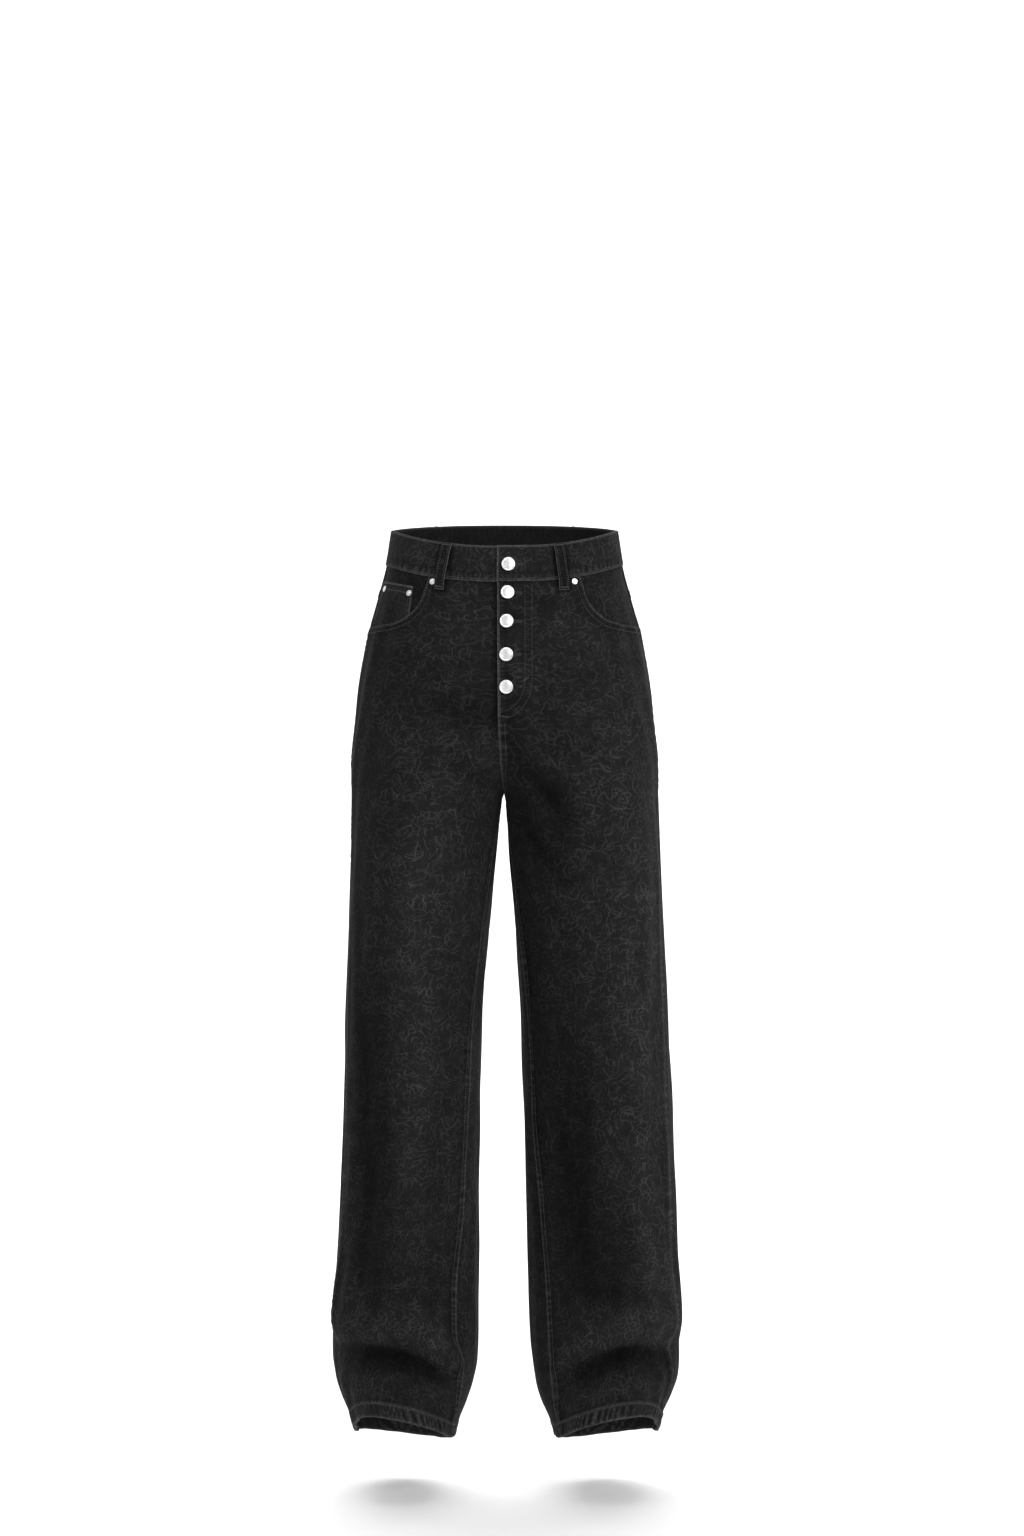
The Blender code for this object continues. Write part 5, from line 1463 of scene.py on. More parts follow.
    def leg_levels(self, top: float) -> Array:
        """Levels of the rows, closer at the break and the hem."""
        marks = (top, -0.300, -0.322, -0.950, -1.100, -1.121, HEM_LEVEL)
        steps = (0.0030, 0.0025, 0.0031, 0.0021, 0.0019, 0.0010)
        rows = []
        for a, b, step in zip(marks[:-1], marks[1:], steps):
            rows.append(np.linspace(a, b, max(2, int(round((a - b) / step)) + 1))[:-1])
        return np.concatenate(rows + [[HEM_LEVEL]])


def run_on_hips(angles: Array, levels: Array) -> Array:
    """Distance along a path on the hips from its first point."""
    return running_total(np.hypot(np.radians(np.diff(angles)) * HIP_RADIUS, np.diff(levels)))


@dataclass
class FrontPanel(LegPanel):
    """Front of one leg, with the scooped mouth, and the lap on the left."""

    title: str = "front"
    mouth_bottom: float = -0.106
    mouth_rows: int = 34
    mouth_wave: float = 0.00032
    mouth_wear: tuple = (1.0, 1.0, 0.40)
    lap_wave: float = 0.00034
    fly_wave: float = 0.00018
    fly_lift: float = 0.0021
    # x of each curved row beside the fly and z of its foot, and z where both begin to curve
    fly_rows: tuple = ((0.0253, -0.205), (0.0340, -0.214))
    fly_turn: float = -0.166
    mouth_curves: Optional[tuple] = None

    def rise_angle(self, level: Array) -> Array:
        """Angle of the lap edge, or of the edge tucked under it."""
        if self.side == Side.LEFT:
            edge = self.form.lap_x(level) + HALF_GAP
        else:
            edge = self.form.tuck_x(level) - HALF_GAP
        return self.form.front_edge_angle(self.side, level, edge)

    def inseam_angle(self, level: Array) -> Array:
        """Angle of the inseam edge."""
        return self.form.in_angle[self.side](level) - self.inset(level)

    def place(self, angle: Array, level: Array) -> Array:
        """Smooth outer face, over the middle plane above the crotch."""
        high = level > CROTCH_LEVEL + 0.002
        joined = self.form.over_centre(self.side, angle, np.maximum(level, CROTCH_LEVEL + 0.002))
        return np.where(high[..., None], joined, super().place(angle, level))

    def felled(self, level: Array) -> Array:
        """The inseam, and on the left the centre seam below the fly."""
        below = smooth(level, CROTCH_LEVEL + 0.004, CROTCH_LEVEL - 0.012)
        if self.side == Side.LEFT:
            return np.maximum(below, smooth(level, FLY_END + 0.004, FLY_END - 0.006))
        return below

    def relief(self, angle: Array, level: Array) -> Pair:
        """As every panel, with puckers along the pocket mouth and the fly."""
        height, crest = super().relief(angle, level)
        near, run = self.from_mouth(angle, level)
        mouth = bell(near, 0.0045, 0.0042) * pucker(run, 0.0088, 6.0 + self.side)
        height = height + self.mouth_wave * mouth
        crest = crest + 0.55 * mouth
        if self.side == Side.LEFT:
            inner_run = self.from_inner(angle, level)
            on_fly = smooth(level, FLY_END - 0.004, FLY_END + 0.004) * smooth(level, -0.030, -0.040)
            edge = on_fly * bell(inner_run, 0.0050, 0.0040) * pucker(level, 0.0092, 4.0)
            curve = on_fly * bell(inner_run, 0.0385, 0.0070) * pucker(level, 0.0104, 5.0)
            height = height + self.lap_wave * edge + self.fly_wave * curve
            crest = crest + 0.80 * edge + 0.28 * curve
        return height, crest

    def from_mouth(self, angle: Array, level: Array) -> Pair:
        """Distance from the pocket mouth, and the distance along it."""
        mouth_angle, mouth_level = self.mouth(np.linspace(0.0, 1.0, 48))
        angle, level = np.broadcast_arrays(angle, level)
        near = np.full(level.shape, 1.0)
        run = np.zeros(level.shape)
        close = level > -0.130
        around = np.radians(angle[close][:, None] - mouth_angle) * HIP_RADIUS
        distance = np.hypot(around, level[close][:, None] - mouth_level)
        near[close] = distance.min(-1)
        run[close] = run_on_hips(mouth_angle, mouth_level)[distance.argmin(-1)]
        return near, run

    def shade(self, angle: Array, level: Array) -> Array:
        """Also painted shade under the waistband, by the mouth, and beside the lap's edge and row."""
        shade = super().shade(angle, level) * (1.0 - 0.45 * smooth(level, BAND_BOTTOM - 0.0050, BAND_BOTTOM))
        near = self.from_mouth(angle, level)[0]
        shade = shade * (1.0 - 0.42 * bell(near, 0.0058, 0.0020) - 0.30 * bell(near, 0.0115, 0.0022))
        run = self.from_inner(angle, level)
        if self.side == Side.RIGHT:
            # painted shadow where the right front runs under the lap
            dark = smooth(run, 0.0150, 0.0040) * smooth(level, FLY_END - 0.030, FLY_END + 0.010)
            return shade * (1.0 - 0.72 * dark)
        return shade * (1.0 - 0.35 * bell(run, 0.0105, 0.0020) * (level > FLY_END))

    def lift(self, points: Array, level: Array) -> Array:
        """The left front stands off over the button stand."""
        if self.side == Side.RIGHT:
            return super().lift(points, level)
        return self.fly_lift * smooth(points[..., 0], 0.045, 0.024) * smooth(level, -0.240, -0.204)

    def mouth(self, share: Array) -> Pair:
        """Angles and levels along the pocket mouth, from the side upward."""
        if self.mouth_curves is None:
            xs, zs = np.array(SCOOP_POINTS[::-1]).T
            angles, levels = self.form.place_on(self.side, self.side * xs, zs)
            angles[0] = self.side_seam(levels[0])
            levels[-1] = UNDER_BAND
            run = run_on_hips(angles, levels)
            run = run / run[-1]
            self.mouth_curves = (curve_through(run, angles), curve_through(run, levels))
        return self.mouth_curves[0](share), self.mouth_curves[1](share)

    def grid(self) -> tuple[Array, Array, Array]:
        """Angles and levels of all points, and wear along the mouth."""
        count = self.columns // 2
        mouth_angle, mouth_level = self.mouth(np.linspace(0.0, 1.0, count))
        outer = self.outer(mouth_level)
        mouth_share = (mouth_angle - outer) / (self.inner(mouth_level) - outer)
        seam_share = np.linspace(mouth_share[-1], 1.0, self.columns - count + 1)[1:]
        top_share = np.concatenate([mouth_share, seam_share])
        top_level = np.concatenate([mouth_level, np.full(self.columns - count, mouth_level[-1])])
        rest = self.leg_levels(self.mouth_bottom)
        blend = smooth(rest, -0.290, self.mouth_bottom)[:, None]
        rest_share = mix(np.linspace(0.0, 1.0, self.columns), top_share, blend)
        down = np.linspace(0.0, 1.0, self.mouth_rows)
        down = (0.25 * down + 0.75 * down ** 1.5)[:, None]
        shares = np.concatenate([mix(top_share, rest_share[0], down), rest_share[1:]])
        levels = np.concatenate([mix(top_level, rest[0], down), rest[1:, None] + np.zeros(self.columns)])
        worn = np.zeros(levels.shape)
        worn[:len(self.mouth_wear), :count] = np.array(self.mouth_wear)[:, None]
        if self.side == Side.LEFT:
            edge = smooth(levels[:, -1], FLY_END - 0.004, FLY_END + 0.004)
            worn[:, -1] = np.maximum(worn[:, -1], 0.75 * edge)
        return self.across(levels, shares), levels, worn

    def mouth_path(self, offset: float) -> Pair:
        """Path of stitches that follows the mouth at a distance below it."""
        angle, level = self.mouth(np.linspace(0.012, 0.985, 70))
        along = unit(np.gradient(self.place(angle, level), axis=0))
        move = unit(np.cross(self.normal(angle, level), along)) * self.side * offset
        # solve move = turn * d_angle + climb * d_level by least squares
        d_angle = (self.place(angle + 0.2, level) - self.place(angle - 0.2, level)) / 0.4
        d_level = (self.place(angle, level + 0.0005) - self.place(angle, level - 0.0005)) / 0.001
        aa = (d_angle * d_angle).sum(-1)
        al = (d_angle * d_level).sum(-1)
        ll = (d_level * d_level).sum(-1)
        ra = (d_angle * move).sum(-1)
        rl = (d_level * move).sum(-1)
        det = aa * ll - al * al
        angle = angle + (ra * ll - rl * al) / det
        level = level + (rl * aa - ra * al) / det
        keep = level < BAND_BOTTOM - 0.001
        return self.on_cloth(angle[keep], level[keep])

    def seen_path(self, xs: Sequence[float], zs: Sequence[float]) -> Pair:
        """A path given as it is seen from the front."""
        return self.on_cloth(*self.form.place_on(self.side, np.asarray(xs), np.asarray(zs)))

    def tack(self, sewing: Sewing, x: float, z: float, along: tuple, length: float) -> None:
        """A bar tack at a place given as it is seen from the front."""
        point, normal = self.seen_path([x], [z])
        sewing.bartack(point[0], np.array(along), normal[0], length)

    def sew(self, sewing: Sewing) -> None:
        """All rows and tacks of this front."""
        for offset in DOUBLE_ROW:
            sewing.row(*self.mouth_path(offset))
            sewing.row(*self.seam_row(offset, CROTCH_LEVEL - 0.010, HEM_LEVEL + self.hem_row))
        sewing.row(*self.hem_stitches())
        self.tack(sewing, 0.166 * self.side, -0.1035, (0.15, 0.0, 1.0), 0.008)
        if self.side == Side.LEFT:
            self.sew_fly(sewing)

    def sew_fly(self, sewing: Sewing) -> None:
        """The lap's edge row, the curved double row, the centre seam and two tacks."""
        sewing.row(*self.seam_row(0.0028, BAND_BOTTOM - 0.002, FLY_END + 0.002))
        for offset in DOUBLE_ROW:
            sewing.row(*self.seam_row(offset, FLY_END - 0.004, CROTCH_LEVEL + 0.006))
        turn = np.radians(np.linspace(0.0, 84.0, 14))[1:]
        down = np.linspace(BAND_BOTTOM - 0.030, self.fly_turn, 26)
        for x, foot in self.fly_rows:
            bend_x = x - (x + 0.004) * (1.0 - np.cos(turn))
            bend_z = mix(self.fly_turn, foot, np.sin(turn))
            sewing.row(*self.seen_path(np.r_[np.full(26, x), bend_x], np.r_[down, bend_z]))
        self.tack(sewing, 0.0012, -0.2115, (1.0, 0.0, -0.1), 0.010)
        self.tack(sewing, 0.0262, self.fly_turn, (1.0, 0.0, 0.6), 0.008)

    def build(self, finishes: Finishes) -> list:
        """The front and its sewing."""
        sewing = Sewing()
        self.sew(sewing)
        return dressed(self.name(), self.cloth(*self.grid()), sewing, finishes)


@dataclass
class BackPanel(LegPanel):
    """Back of one leg, below the yoke."""

    title: str = "back"
    face: Face = Face.BACK
    yoke_fade: float = 0.120
    top_wear: float = 0.35

    def rise_angle(self, level: Array) -> Array:
        """Angle of the centre back seam."""
        return self.seat_edge(level)

    def inseam_angle(self, level: Array) -> Array:
        """Angle of the inseam edge, counted the other way round."""
        return self.form.in_angle[self.side](level) - 360.0 + self.inset(level)

    def felled(self, level: Array) -> Array:
        """The seat seam is felled onto the left back."""
        if self.side == Side.RIGHT:
            return super().felled(level)
        return smooth(level, CROTCH_LEVEL - 0.004, CROTCH_LEVEL + 0.008)

    def build(self, finishes: Finishes) -> list:
        """The back and its sewing."""
        top = YOKE_SIDE - HALF_GAP
        rows = self.leg_levels(top)
        share = np.linspace(0.0, 1.0, self.columns)
        drop = -YOKE_DROP * np.clip(1.0 - (top - rows) / self.yoke_fade, 0.0, 1.0)
        levels = rows[:, None] + drop[:, None] * share
        worn = np.zeros(levels.shape)
        worn[0] = self.top_wear
        sewing = Sewing()
        sewing.row(*self.hem_stitches())
        if self.side == Side.LEFT:
            for offset in DOUBLE_ROW:
                sewing.row(*self.seam_row(offset, YOKE_SIDE - YOKE_DROP - 0.002, CROTCH_LEVEL + 0.006))
        return dressed(self.name(), self.cloth(self.across(levels, share), levels, worn), sewing, finishes)


# ------------------------------------------------------------- pieces laid on and in
@dataclass
class SmallCloth(SidePiece):
    """A smaller piece whose places come from the worn form."""

    rows: int = 26
    columns: int = 26

    def spot(self, across: Array, down: Array) -> Pair:
        """Angle and level at a share across and a share down."""
        raise NotImplementedError

    def face_height(self, angle: Array, level: Array) -> Array:
        """How far the piece's flat face lies off the worn form."""
        return np.zeros(np.shape(level))

    def shares(self, first: float = 0.0) -> Pair:
        """Shares across, from first to 1, and down, for every point of the piece."""
        return tuple(np.meshgrid(np.linspace(first, 1.0, self.columns), np.linspace(0.0, 1.0, self.rows)))

    def path(self, across: Array, down: Array, extra: float) -> Pair:
        """Points a little above the piece's flat face, and the normals there."""
        angle, level = self.spot(*np.broadcast_arrays(across, down))
        normal = self.normal(angle, level)
        out = self.face_height(angle, level) + extra
        return self.place(angle, level) + normal * out[..., None], normal

    def wall(
        self, angle: Array, level: Array, out: Array, thick: Array, worn: Array, shift: float
    ) -> ClothWall:
        """A wall whose outer face stands off by out; shift sets its part of the cloth's pattern."""
        base = self.place(angle, level)
        normal = self.normal(angle, level)
        outer = base + normal * out[..., None]
        inner = base + normal * (out - thick)[..., None]
        place = np.stack([np.radians(angle) * LEG_RADIUS + shift, level], -1)
        return ClothWall(outer, inner, place, worn, self.form.tone(self.side, angle, base))


@dataclass
class Yoke(SmallCloth):
    """The yoke between the waistband and the back."""

    title: str = "yoke"
    rows: int = 16
    columns: int = 70
    side_height: float = 0.040
    width: float = 0.2
    seat_width: float = 0.19
    fell_height: float = 0.0005
    fell_edge: tuple = (0.0105, 0.0085)

    def spot(self, across: Array, down: Array) -> Pair:
        """Angle and level at a share from the side and a share down."""
        level = mix(UNDER_BAND, YOKE_SIDE + HALF_GAP, down) - YOKE_DROP * down * across
        return mix(self.side_seam(level) - self.inset(level), self.seat_edge(level), across), level

    def build(self, finishes: Finishes) -> list:
        """The yoke with its double rows."""
        share, down = self.shares()
        angle, level = self.spot(share, down)
        above = (1.0 - down) * (self.side_height + YOKE_DROP * share)
        wave = 0.00025 * pucker(share * self.width, 0.0085, 2.0 + self.side)
        out = smooth(above, *self.fell_edge) * (self.fell_height + wave)
        if self.side == Side.LEFT:
            out = np.maximum(out, self.fell_height * smooth((1.0 - share) * self.width, *self.fell_edge))
        worn = 0.5 * (down >= 1.0) + 0.25 * bell(above, 0.0095, 0.0020)
        wall = self.wall(angle, level, out, out + CLOTH, worn, 4.0 + self.side)
        sewing = Sewing()
        run = np.linspace(0.01, 0.99, 80)
        for offset in DOUBLE_ROW:
            sewing.row(*self.path(run, 1.0 - offset / (self.side_height + YOKE_DROP * run), 0.0006))
            if self.side == Side.LEFT:
                sewing.row(*self.path(1.0 - offset / self.seat_width, np.linspace(0.03, 0.97, 20), 0.0006))
        return dressed(self.name(), wall, sewing, finishes)


@dataclass
class PocketFacing(SmallCloth):
    """The denim that shows inside the scooped mouth."""

    title: str = "facing"
    rows: int = 36
    columns: int = 36
    inner_x: float = 0.080
    bottom: float = -0.125
    edge_depth: float = 0.0016
    depth: float = 0.0039
    ramp: float = 0.010
    # painted shade of the facing, which lies sunk inside the pocket mouth
    dark: float = 0.74

    def sunk(self, angle: Array, level: Array) -> Array:
        """How far the facing lies below the front's face."""
        from_seam = np.radians(angle - self.side_seam(level)) * SIDE_RADIUS
        share = smooth(from_seam, 0.0, self.ramp) * smooth(BAND_BOTTOM - level, 0.0, self.ramp)
        return mix(self.edge_depth, self.depth, share)

    def build(self, finishes: Finishes) -> list:
        """The facing."""
        rows = mix(UNDER_BAND, self.bottom, np.linspace(0.0, 1.0, self.rows) ** 1.3)
        outer = self.side_seam(rows) + np.degrees(HALF_GAP / STEP_RADIUS)
        inner = self.form.angle_at_x(self.side, rows, self.inner_x)
        angle = mix(outer[:, None], inner[:, None], np.linspace(0.0, 1.0, self.columns) ** 1.2)
        level = rows[:, None] + np.zeros(self.columns)
        worn = np.zeros(level.shape)
        wall = self.wall(angle, level, -self.sunk(angle, level), CLOTH, worn, 6.0 + self.side)
        # painted shade: the facing is darkened inside the mouth
        wall.tone = wall.tone * self.dark
        return dressed(self.name(), wall, None, finishes)


@dataclass
class CoinPocket(PocketFacing):
    """The small pocket on the right facing."""

    rows: int = 26
    columns: int = 26
    from_seam: float = 0.0125
    gap: float = 0.0004
    top_outer: float = -0.0385
    top_inner: float = -0.0340
    foot: float = -0.112
    inner_x: float = 0.1154
    inner_lean: float = 0.0076
    hem_extra: float = 0.0003

    def spot(self, across: Array, down: Array) -> Pair:
        """Angle and level at a share from the side and a share down."""
        level = mix(mix(self.top_outer, self.top_inner, across), self.foot, down)
        first = self.side_seam(level) + np.degrees(self.from_seam / self.form.leg_half[self.side](level))
        last = self.form.angle_at_x(self.side, level, self.inner_x + self.inner_lean * down)
        return mix(first, last, across), level

    def face_height(self, angle: Array, level: Array) -> Array:
        """The pocket lies on the sunk facing."""
        return self.gap + CLOTH - self.sunk(angle, level)

    def build(self, finishes: Finishes) -> list:
        """The coin pocket and its rows."""
        share, down = self.shares()
        angle, level = self.spot(share, down)
        hem = self.hem_extra * smooth(down, 0.155, 0.125)
        worn = 0.9 * (down <= 0.0) + 0.45 * (share >= 1.0) + 0.25 * bell(down, 0.13, 0.02)
        wall = self.wall(angle, level, self.face_height(angle, level) + hem, CLOTH + hem, worn, 8.0)
        sewing = Sewing()
        for line in (0.030, 0.120):
            sewing.row(*self.path(np.linspace(0.03, 0.97, 30), line, self.hem_extra))
        sewing.row(*self.path(0.95, np.linspace(0.05, 0.95, 30), 0.0))
        return dressed("coin_pocket", wall, sewing, finishes)


@dataclass
class BackPocket(SmallCloth):
    """A plain patch pocket with a pointed foot."""

    title: str = "back_pocket"
    rows: int = 44
    columns: int = 42
    middle: float = 0.098
    top_half: float = 0.075
    mean_half: float = 0.070
    low_half: float = 0.066
    top: float = -0.112
    side_height: float = 0.140
    mean_height: float = 0.150
    point_height: float = 0.165
    hem: float = 0.026
    hem_extra: float = 0.0005
    belly: float = 0.0012

    def spot(self, across: Array, down: Array) -> Pair:
        """Angle and level at a share across (-1 to 1) and a share down."""
        height = mix(self.side_height, self.point_height, 1.0 - np.abs(across))
        level = self.top - height * down
        half = self.top_half + (self.low_half - self.top_half) * (self.top - level) / self.point_height
        return self.form.angle_at_arc(self.side, level, self.middle + half * across), level

    def face_height(self, angle: Array, level: Array) -> Array:
        """The pocket lies on the back."""
        return np.full(np.shape(level), LAID_GAP + CLOTH)

    def build(self, finishes: Finishes) -> list:
        """The pocket, its hem and belly, double edge rows, hem rows and tacks."""
        across, down = self.shares(-1.0)
        angle, level = self.spot(across, down)
        drop = self.top - level
        hem = self.hem_extra * smooth(drop, self.hem + 0.002, self.hem - 0.002)
        edge = (1.0 - np.abs(across)) * self.mean_half
        belly = self.belly * smooth(edge, 0.004, 0.030) * smooth(down, 0.0, 0.06) * smooth(down, 1.0, 0.85)
        waves = 0.00022 * smooth(edge, 0.012, 0.002) * pucker(level, 0.009, 3.0)
        out = LAID_GAP + CLOTH + hem + belly + waves
        worn = 0.75 * (down <= 0.0) + 0.40 * ((np.abs(across) >= 1.0) | (down >= 1.0))
        worn = worn + 0.18 * bell(drop, self.hem, 0.0018)
        wall = self.wall(angle, level, out, CLOTH + hem + belly, worn, 10.0 + self.side)
        sewing = Sewing()
        for inset in (0.0020, 0.0080):
            share = 1.0 - inset / self.mean_half
            side_down = np.linspace(0.01, 1.0 - inset / self.side_height, 34)
            foot = np.linspace(-share, share, 50)[1:-1]
            line = np.r_[np.full(34, -share), foot, np.full(34, share)]
            fall = np.r_[side_down, np.full(48, 1.0 - inset / self.mean_height), side_down[::-1]]
            sewing.row(*self.path(line, fall, 0.0002))
        run = np.linspace(-0.965, 0.965, 44)
        for drop_at in (0.0030, self.hem - 0.002):
            sewing.row(*self.path(run, drop_at / (self.side_height + 0.012), 0.0010))
        for corner in (-0.955, 0.955):
            point, normal = self.path(corner, np.array([0.03, 0.05]), 0.0006)
            sewing.bartack(point[0], point[1] - point[0], normal[0])
        return dressed(self.name(), wall, sewing, finishes)


@dataclass
class ButtonStand(SmallCloth):
    """The strip under the lap that carries the buttons."""

    rows: int = 60
    columns: int = 10
    edge_x: float = 0.020
    foot: float = -0.204

    def place(self, angle: Array, level: Array) -> Array:
        """Smooth face over the middle plane."""
        return self.form.over_centre(self.side, angle, level)

    def build(self, finishes: Finishes) -> list:
        """The stand."""
        rows = np.linspace(UNDER_BAND, self.foot, self.rows)
        start = self.form.front_edge_angle(self.side, rows, np.full(rows.shape, self.edge_x))
        end = self.form.front_edge_angle(self.side, rows, self.form.tuck_x(rows) + HALF_GAP)
        angle = mix(start[:, None], end[:, None], np.linspace(0.0, 1.0, self.columns))
        level = rows[:, None] + np.zeros(self.columns)
        zero = np.zeros(level.shape)
        return dressed("button_stand", self.wall(angle, level, zero, CLOTH, zero, 12.0), None, finishes)


# ------------------------------------------------------------- waistband and loops
class LoopPlace(NamedTuple):
    """Where one belt loop is sewn: x at its top and its foot."""

    name: str
    face: int
    top_x: float
    foot_x: float


LOOP_WIDTH = 0.0125
LOOP_TOP = 0.0262
LOOP_FOOT = -0.0330
LOOPS = (
    LoopPlace("front_right", Face.FRONT, -0.0702, -0.0809),
    LoopPlace("front_left", Face.FRONT, 0.0663, 0.0738),
    LoopPlace("back_right", Face.BACK, -0.0980, -0.1060),
    LoopPlace("back_left", Face.BACK, 0.0980, 0.1060),
    LoopPlace("centre_back", Face.BACK, 0.0, 0.0),
)


def loop_shadow(points: Array, level: Array) -> Array:
    """Painted shadow beside the two belt loops in front: how much darker the cloth is, from 0 to 1."""
    share = (LOOP_TOP - level) / (LOOP_TOP - LOOP_FOOT)
    total = np.zeros(level.shape)
    for spot in LOOPS[:2]:
        off = np.abs(points[..., 0] - mix(spot.top_x, spot.foot_x, share)) - 0.5 * LOOP_WIDTH
        facing = smooth(-points[..., 1], 0.0, 0.02)
        total = total + facing * smooth(off, 0.0060, 0.0015) * (off > -0.5 * LOOP_WIDTH)
    return np.minimum(total, 1.0) * smooth(level, LOOP_FOOT - 0.006, LOOP_FOOT)


def crest_wear_and_highlight(crest: Array) -> Array:
    """Wear and painted highlight on a pucker's ridges."""
    return 0.42 * np.maximum(crest - 0.1, 0.0)


@dataclass
class Waistband:
    """One strip round the waist whose left end laps over the right."""

    form: WornForm
    proud: float = 0.0009
    wall: float = 0.0026
    rim_round: float = 0.0009
    over_x: float = -0.0092
    under_x: float = 0.020
    over_lift: float = 0.00295
    columns: int = 420
    rows: int = 22
    edge_rows: tuple = (0.0026, 0.0030)
    end_row: float = 1.2

    def point(self, turn: Array, level: Array) -> Array:
        """Smooth outer face at a turn in degrees from centre front."""
        across = np.sin(np.radians(turn))
        ahead = np.cos(np.radians(turn))
        reach = self.form.hip_reach(level, 0.0, 0.0, across, ahead)
        v = reach * ahead
        return np.stack([-reach * across, -v, level + self.form.waist_tilt(level, v)], axis=-1)

    def normal(self, turn: Array, level: Array) -> Array:
        """Outward unit normals of the smooth face."""
        return self.form.normals(self.point, turn, level, 1)

    def turn_at_x(self, x: Array, level: Array) -> Array:
        """Turns near centre front of the points with these x."""
        level = np.asarray(level)
        return turning_point(-60.0, 60.0, lambda turn: self.point(turn, level)[..., 0] > x, 32)

    def lift(self, turn: Array, level: Array) -> Array:
        """The over end stands off the under end."""
        x = self.point(turn, level)[..., 0]
        return np.where(turn > 300.0, self.over_lift * smooth(x, 0.045, 0.024), 0.0)

    def relief(self, turn: Array, level: Array) -> Pair:
        """Puckers along both edges and slight waves between: heights and crests."""
        run = np.radians(turn) * BAND_RADIUS
        low = bell(level, BAND_BOTTOM + 0.0060, 0.0042) * pucker(run, 0.0078, 1.0)
        top = bell(level, BAND_TOP - 0.0045, 0.0030) * pucker(run + 0.5, 0.0120, 2.0)
        broad = 0.00035 * np.sin(run * 96.0 + 1.0) * np.sin((level - BAND_BOTTOM) * 60.0)
        return 0.00042 * low + 0.00016 * top + broad, 0.85 * low + 0.20 * top

    def on_cloth(self, turn: Array, level: Array) -> Pair:
        """Points and normals on the finished outer face."""
        normal = self.normal(turn, level)
        out = self.proud + self.lift(turn, level) + self.relief(turn, level)[0]
        return self.point(turn, level) + normal * out[..., None], normal

    def build(self, finishes: Finishes) -> list:
        """The strip with rounded edges, and its rows."""
        first = self.turn_at_x(self.under_x, 0.0)
        last = 360.0 + self.turn_at_x(self.over_x, 0.0)
        low = BAND_BOTTOM + HALF_GAP
        down = np.unique(np.r_[0.008, 0.025, 0.975, 0.992, np.linspace(0.0, 1.0, self.rows)])
        turns, levels = np.meshgrid(np.linspace(first, last, self.columns), mix(BAND_TOP, low, down))
        near = np.minimum(BAND_TOP - levels, levels - low)
        round_off = self.rim_round * (1.0 - smooth(near, 0.0, 0.0016))
        normal = self.normal(turns, levels)
        base = self.point(turns, levels)
        lift = self.proud + self.lift(turns, levels)
        relief, crest = self.relief(turns, levels)
        outer = base + normal * (lift + relief - round_off)[..., None]
        inner = base + normal * (lift - self.wall + round_off)[..., None]
        place = np.stack([np.radians(turns) * BAND_RADIUS + 14.0, levels], -1)
        worn = 0.60 * bell(levels, BAND_TOP, 0.0018) + 0.55 * bell(levels, low, 0.0016) + crest_wear_and_highlight(crest)
        worn[:, -1] = 0.85
        worn[:, -2] = np.maximum(worn[:, -2], 0.25)
        tone = 1.10 + 0.14 * np.sin(turns * 0.21) * np.sin(turns * 0.083 + 1.0)
        # painted shade in the pucker slots, a darker line 10 mm above the lower edge, and painted shadow
        # beside the front belt loops
        tone = tone * (1.0 + 0.60 * np.minimum(crest, 0.0))
        tone = tone * (1.0 - 0.30 * bell(levels, low + 0.0105, 0.0030))
        tone = tone * (1.0 - LOOP_DARK * loop_shadow(base, levels))
        sewing = Sewing()
        end = last - self.end_row
        run = np.linspace(first + 1.0, end, 700)
        for level in (BAND_TOP - self.edge_rows[0], low + self.edge_rows[1]):
            sewing.row(*self.on_cloth(run, np.full(700, level)))
        sewing.row(*self.on_cloth(np.full(20, end), np.linspace(BAND_TOP - 0.003, low + 0.003, 20)))
        return dressed("waistband", ClothWall(outer, inner, place, worn, tone), sewing, finishes)


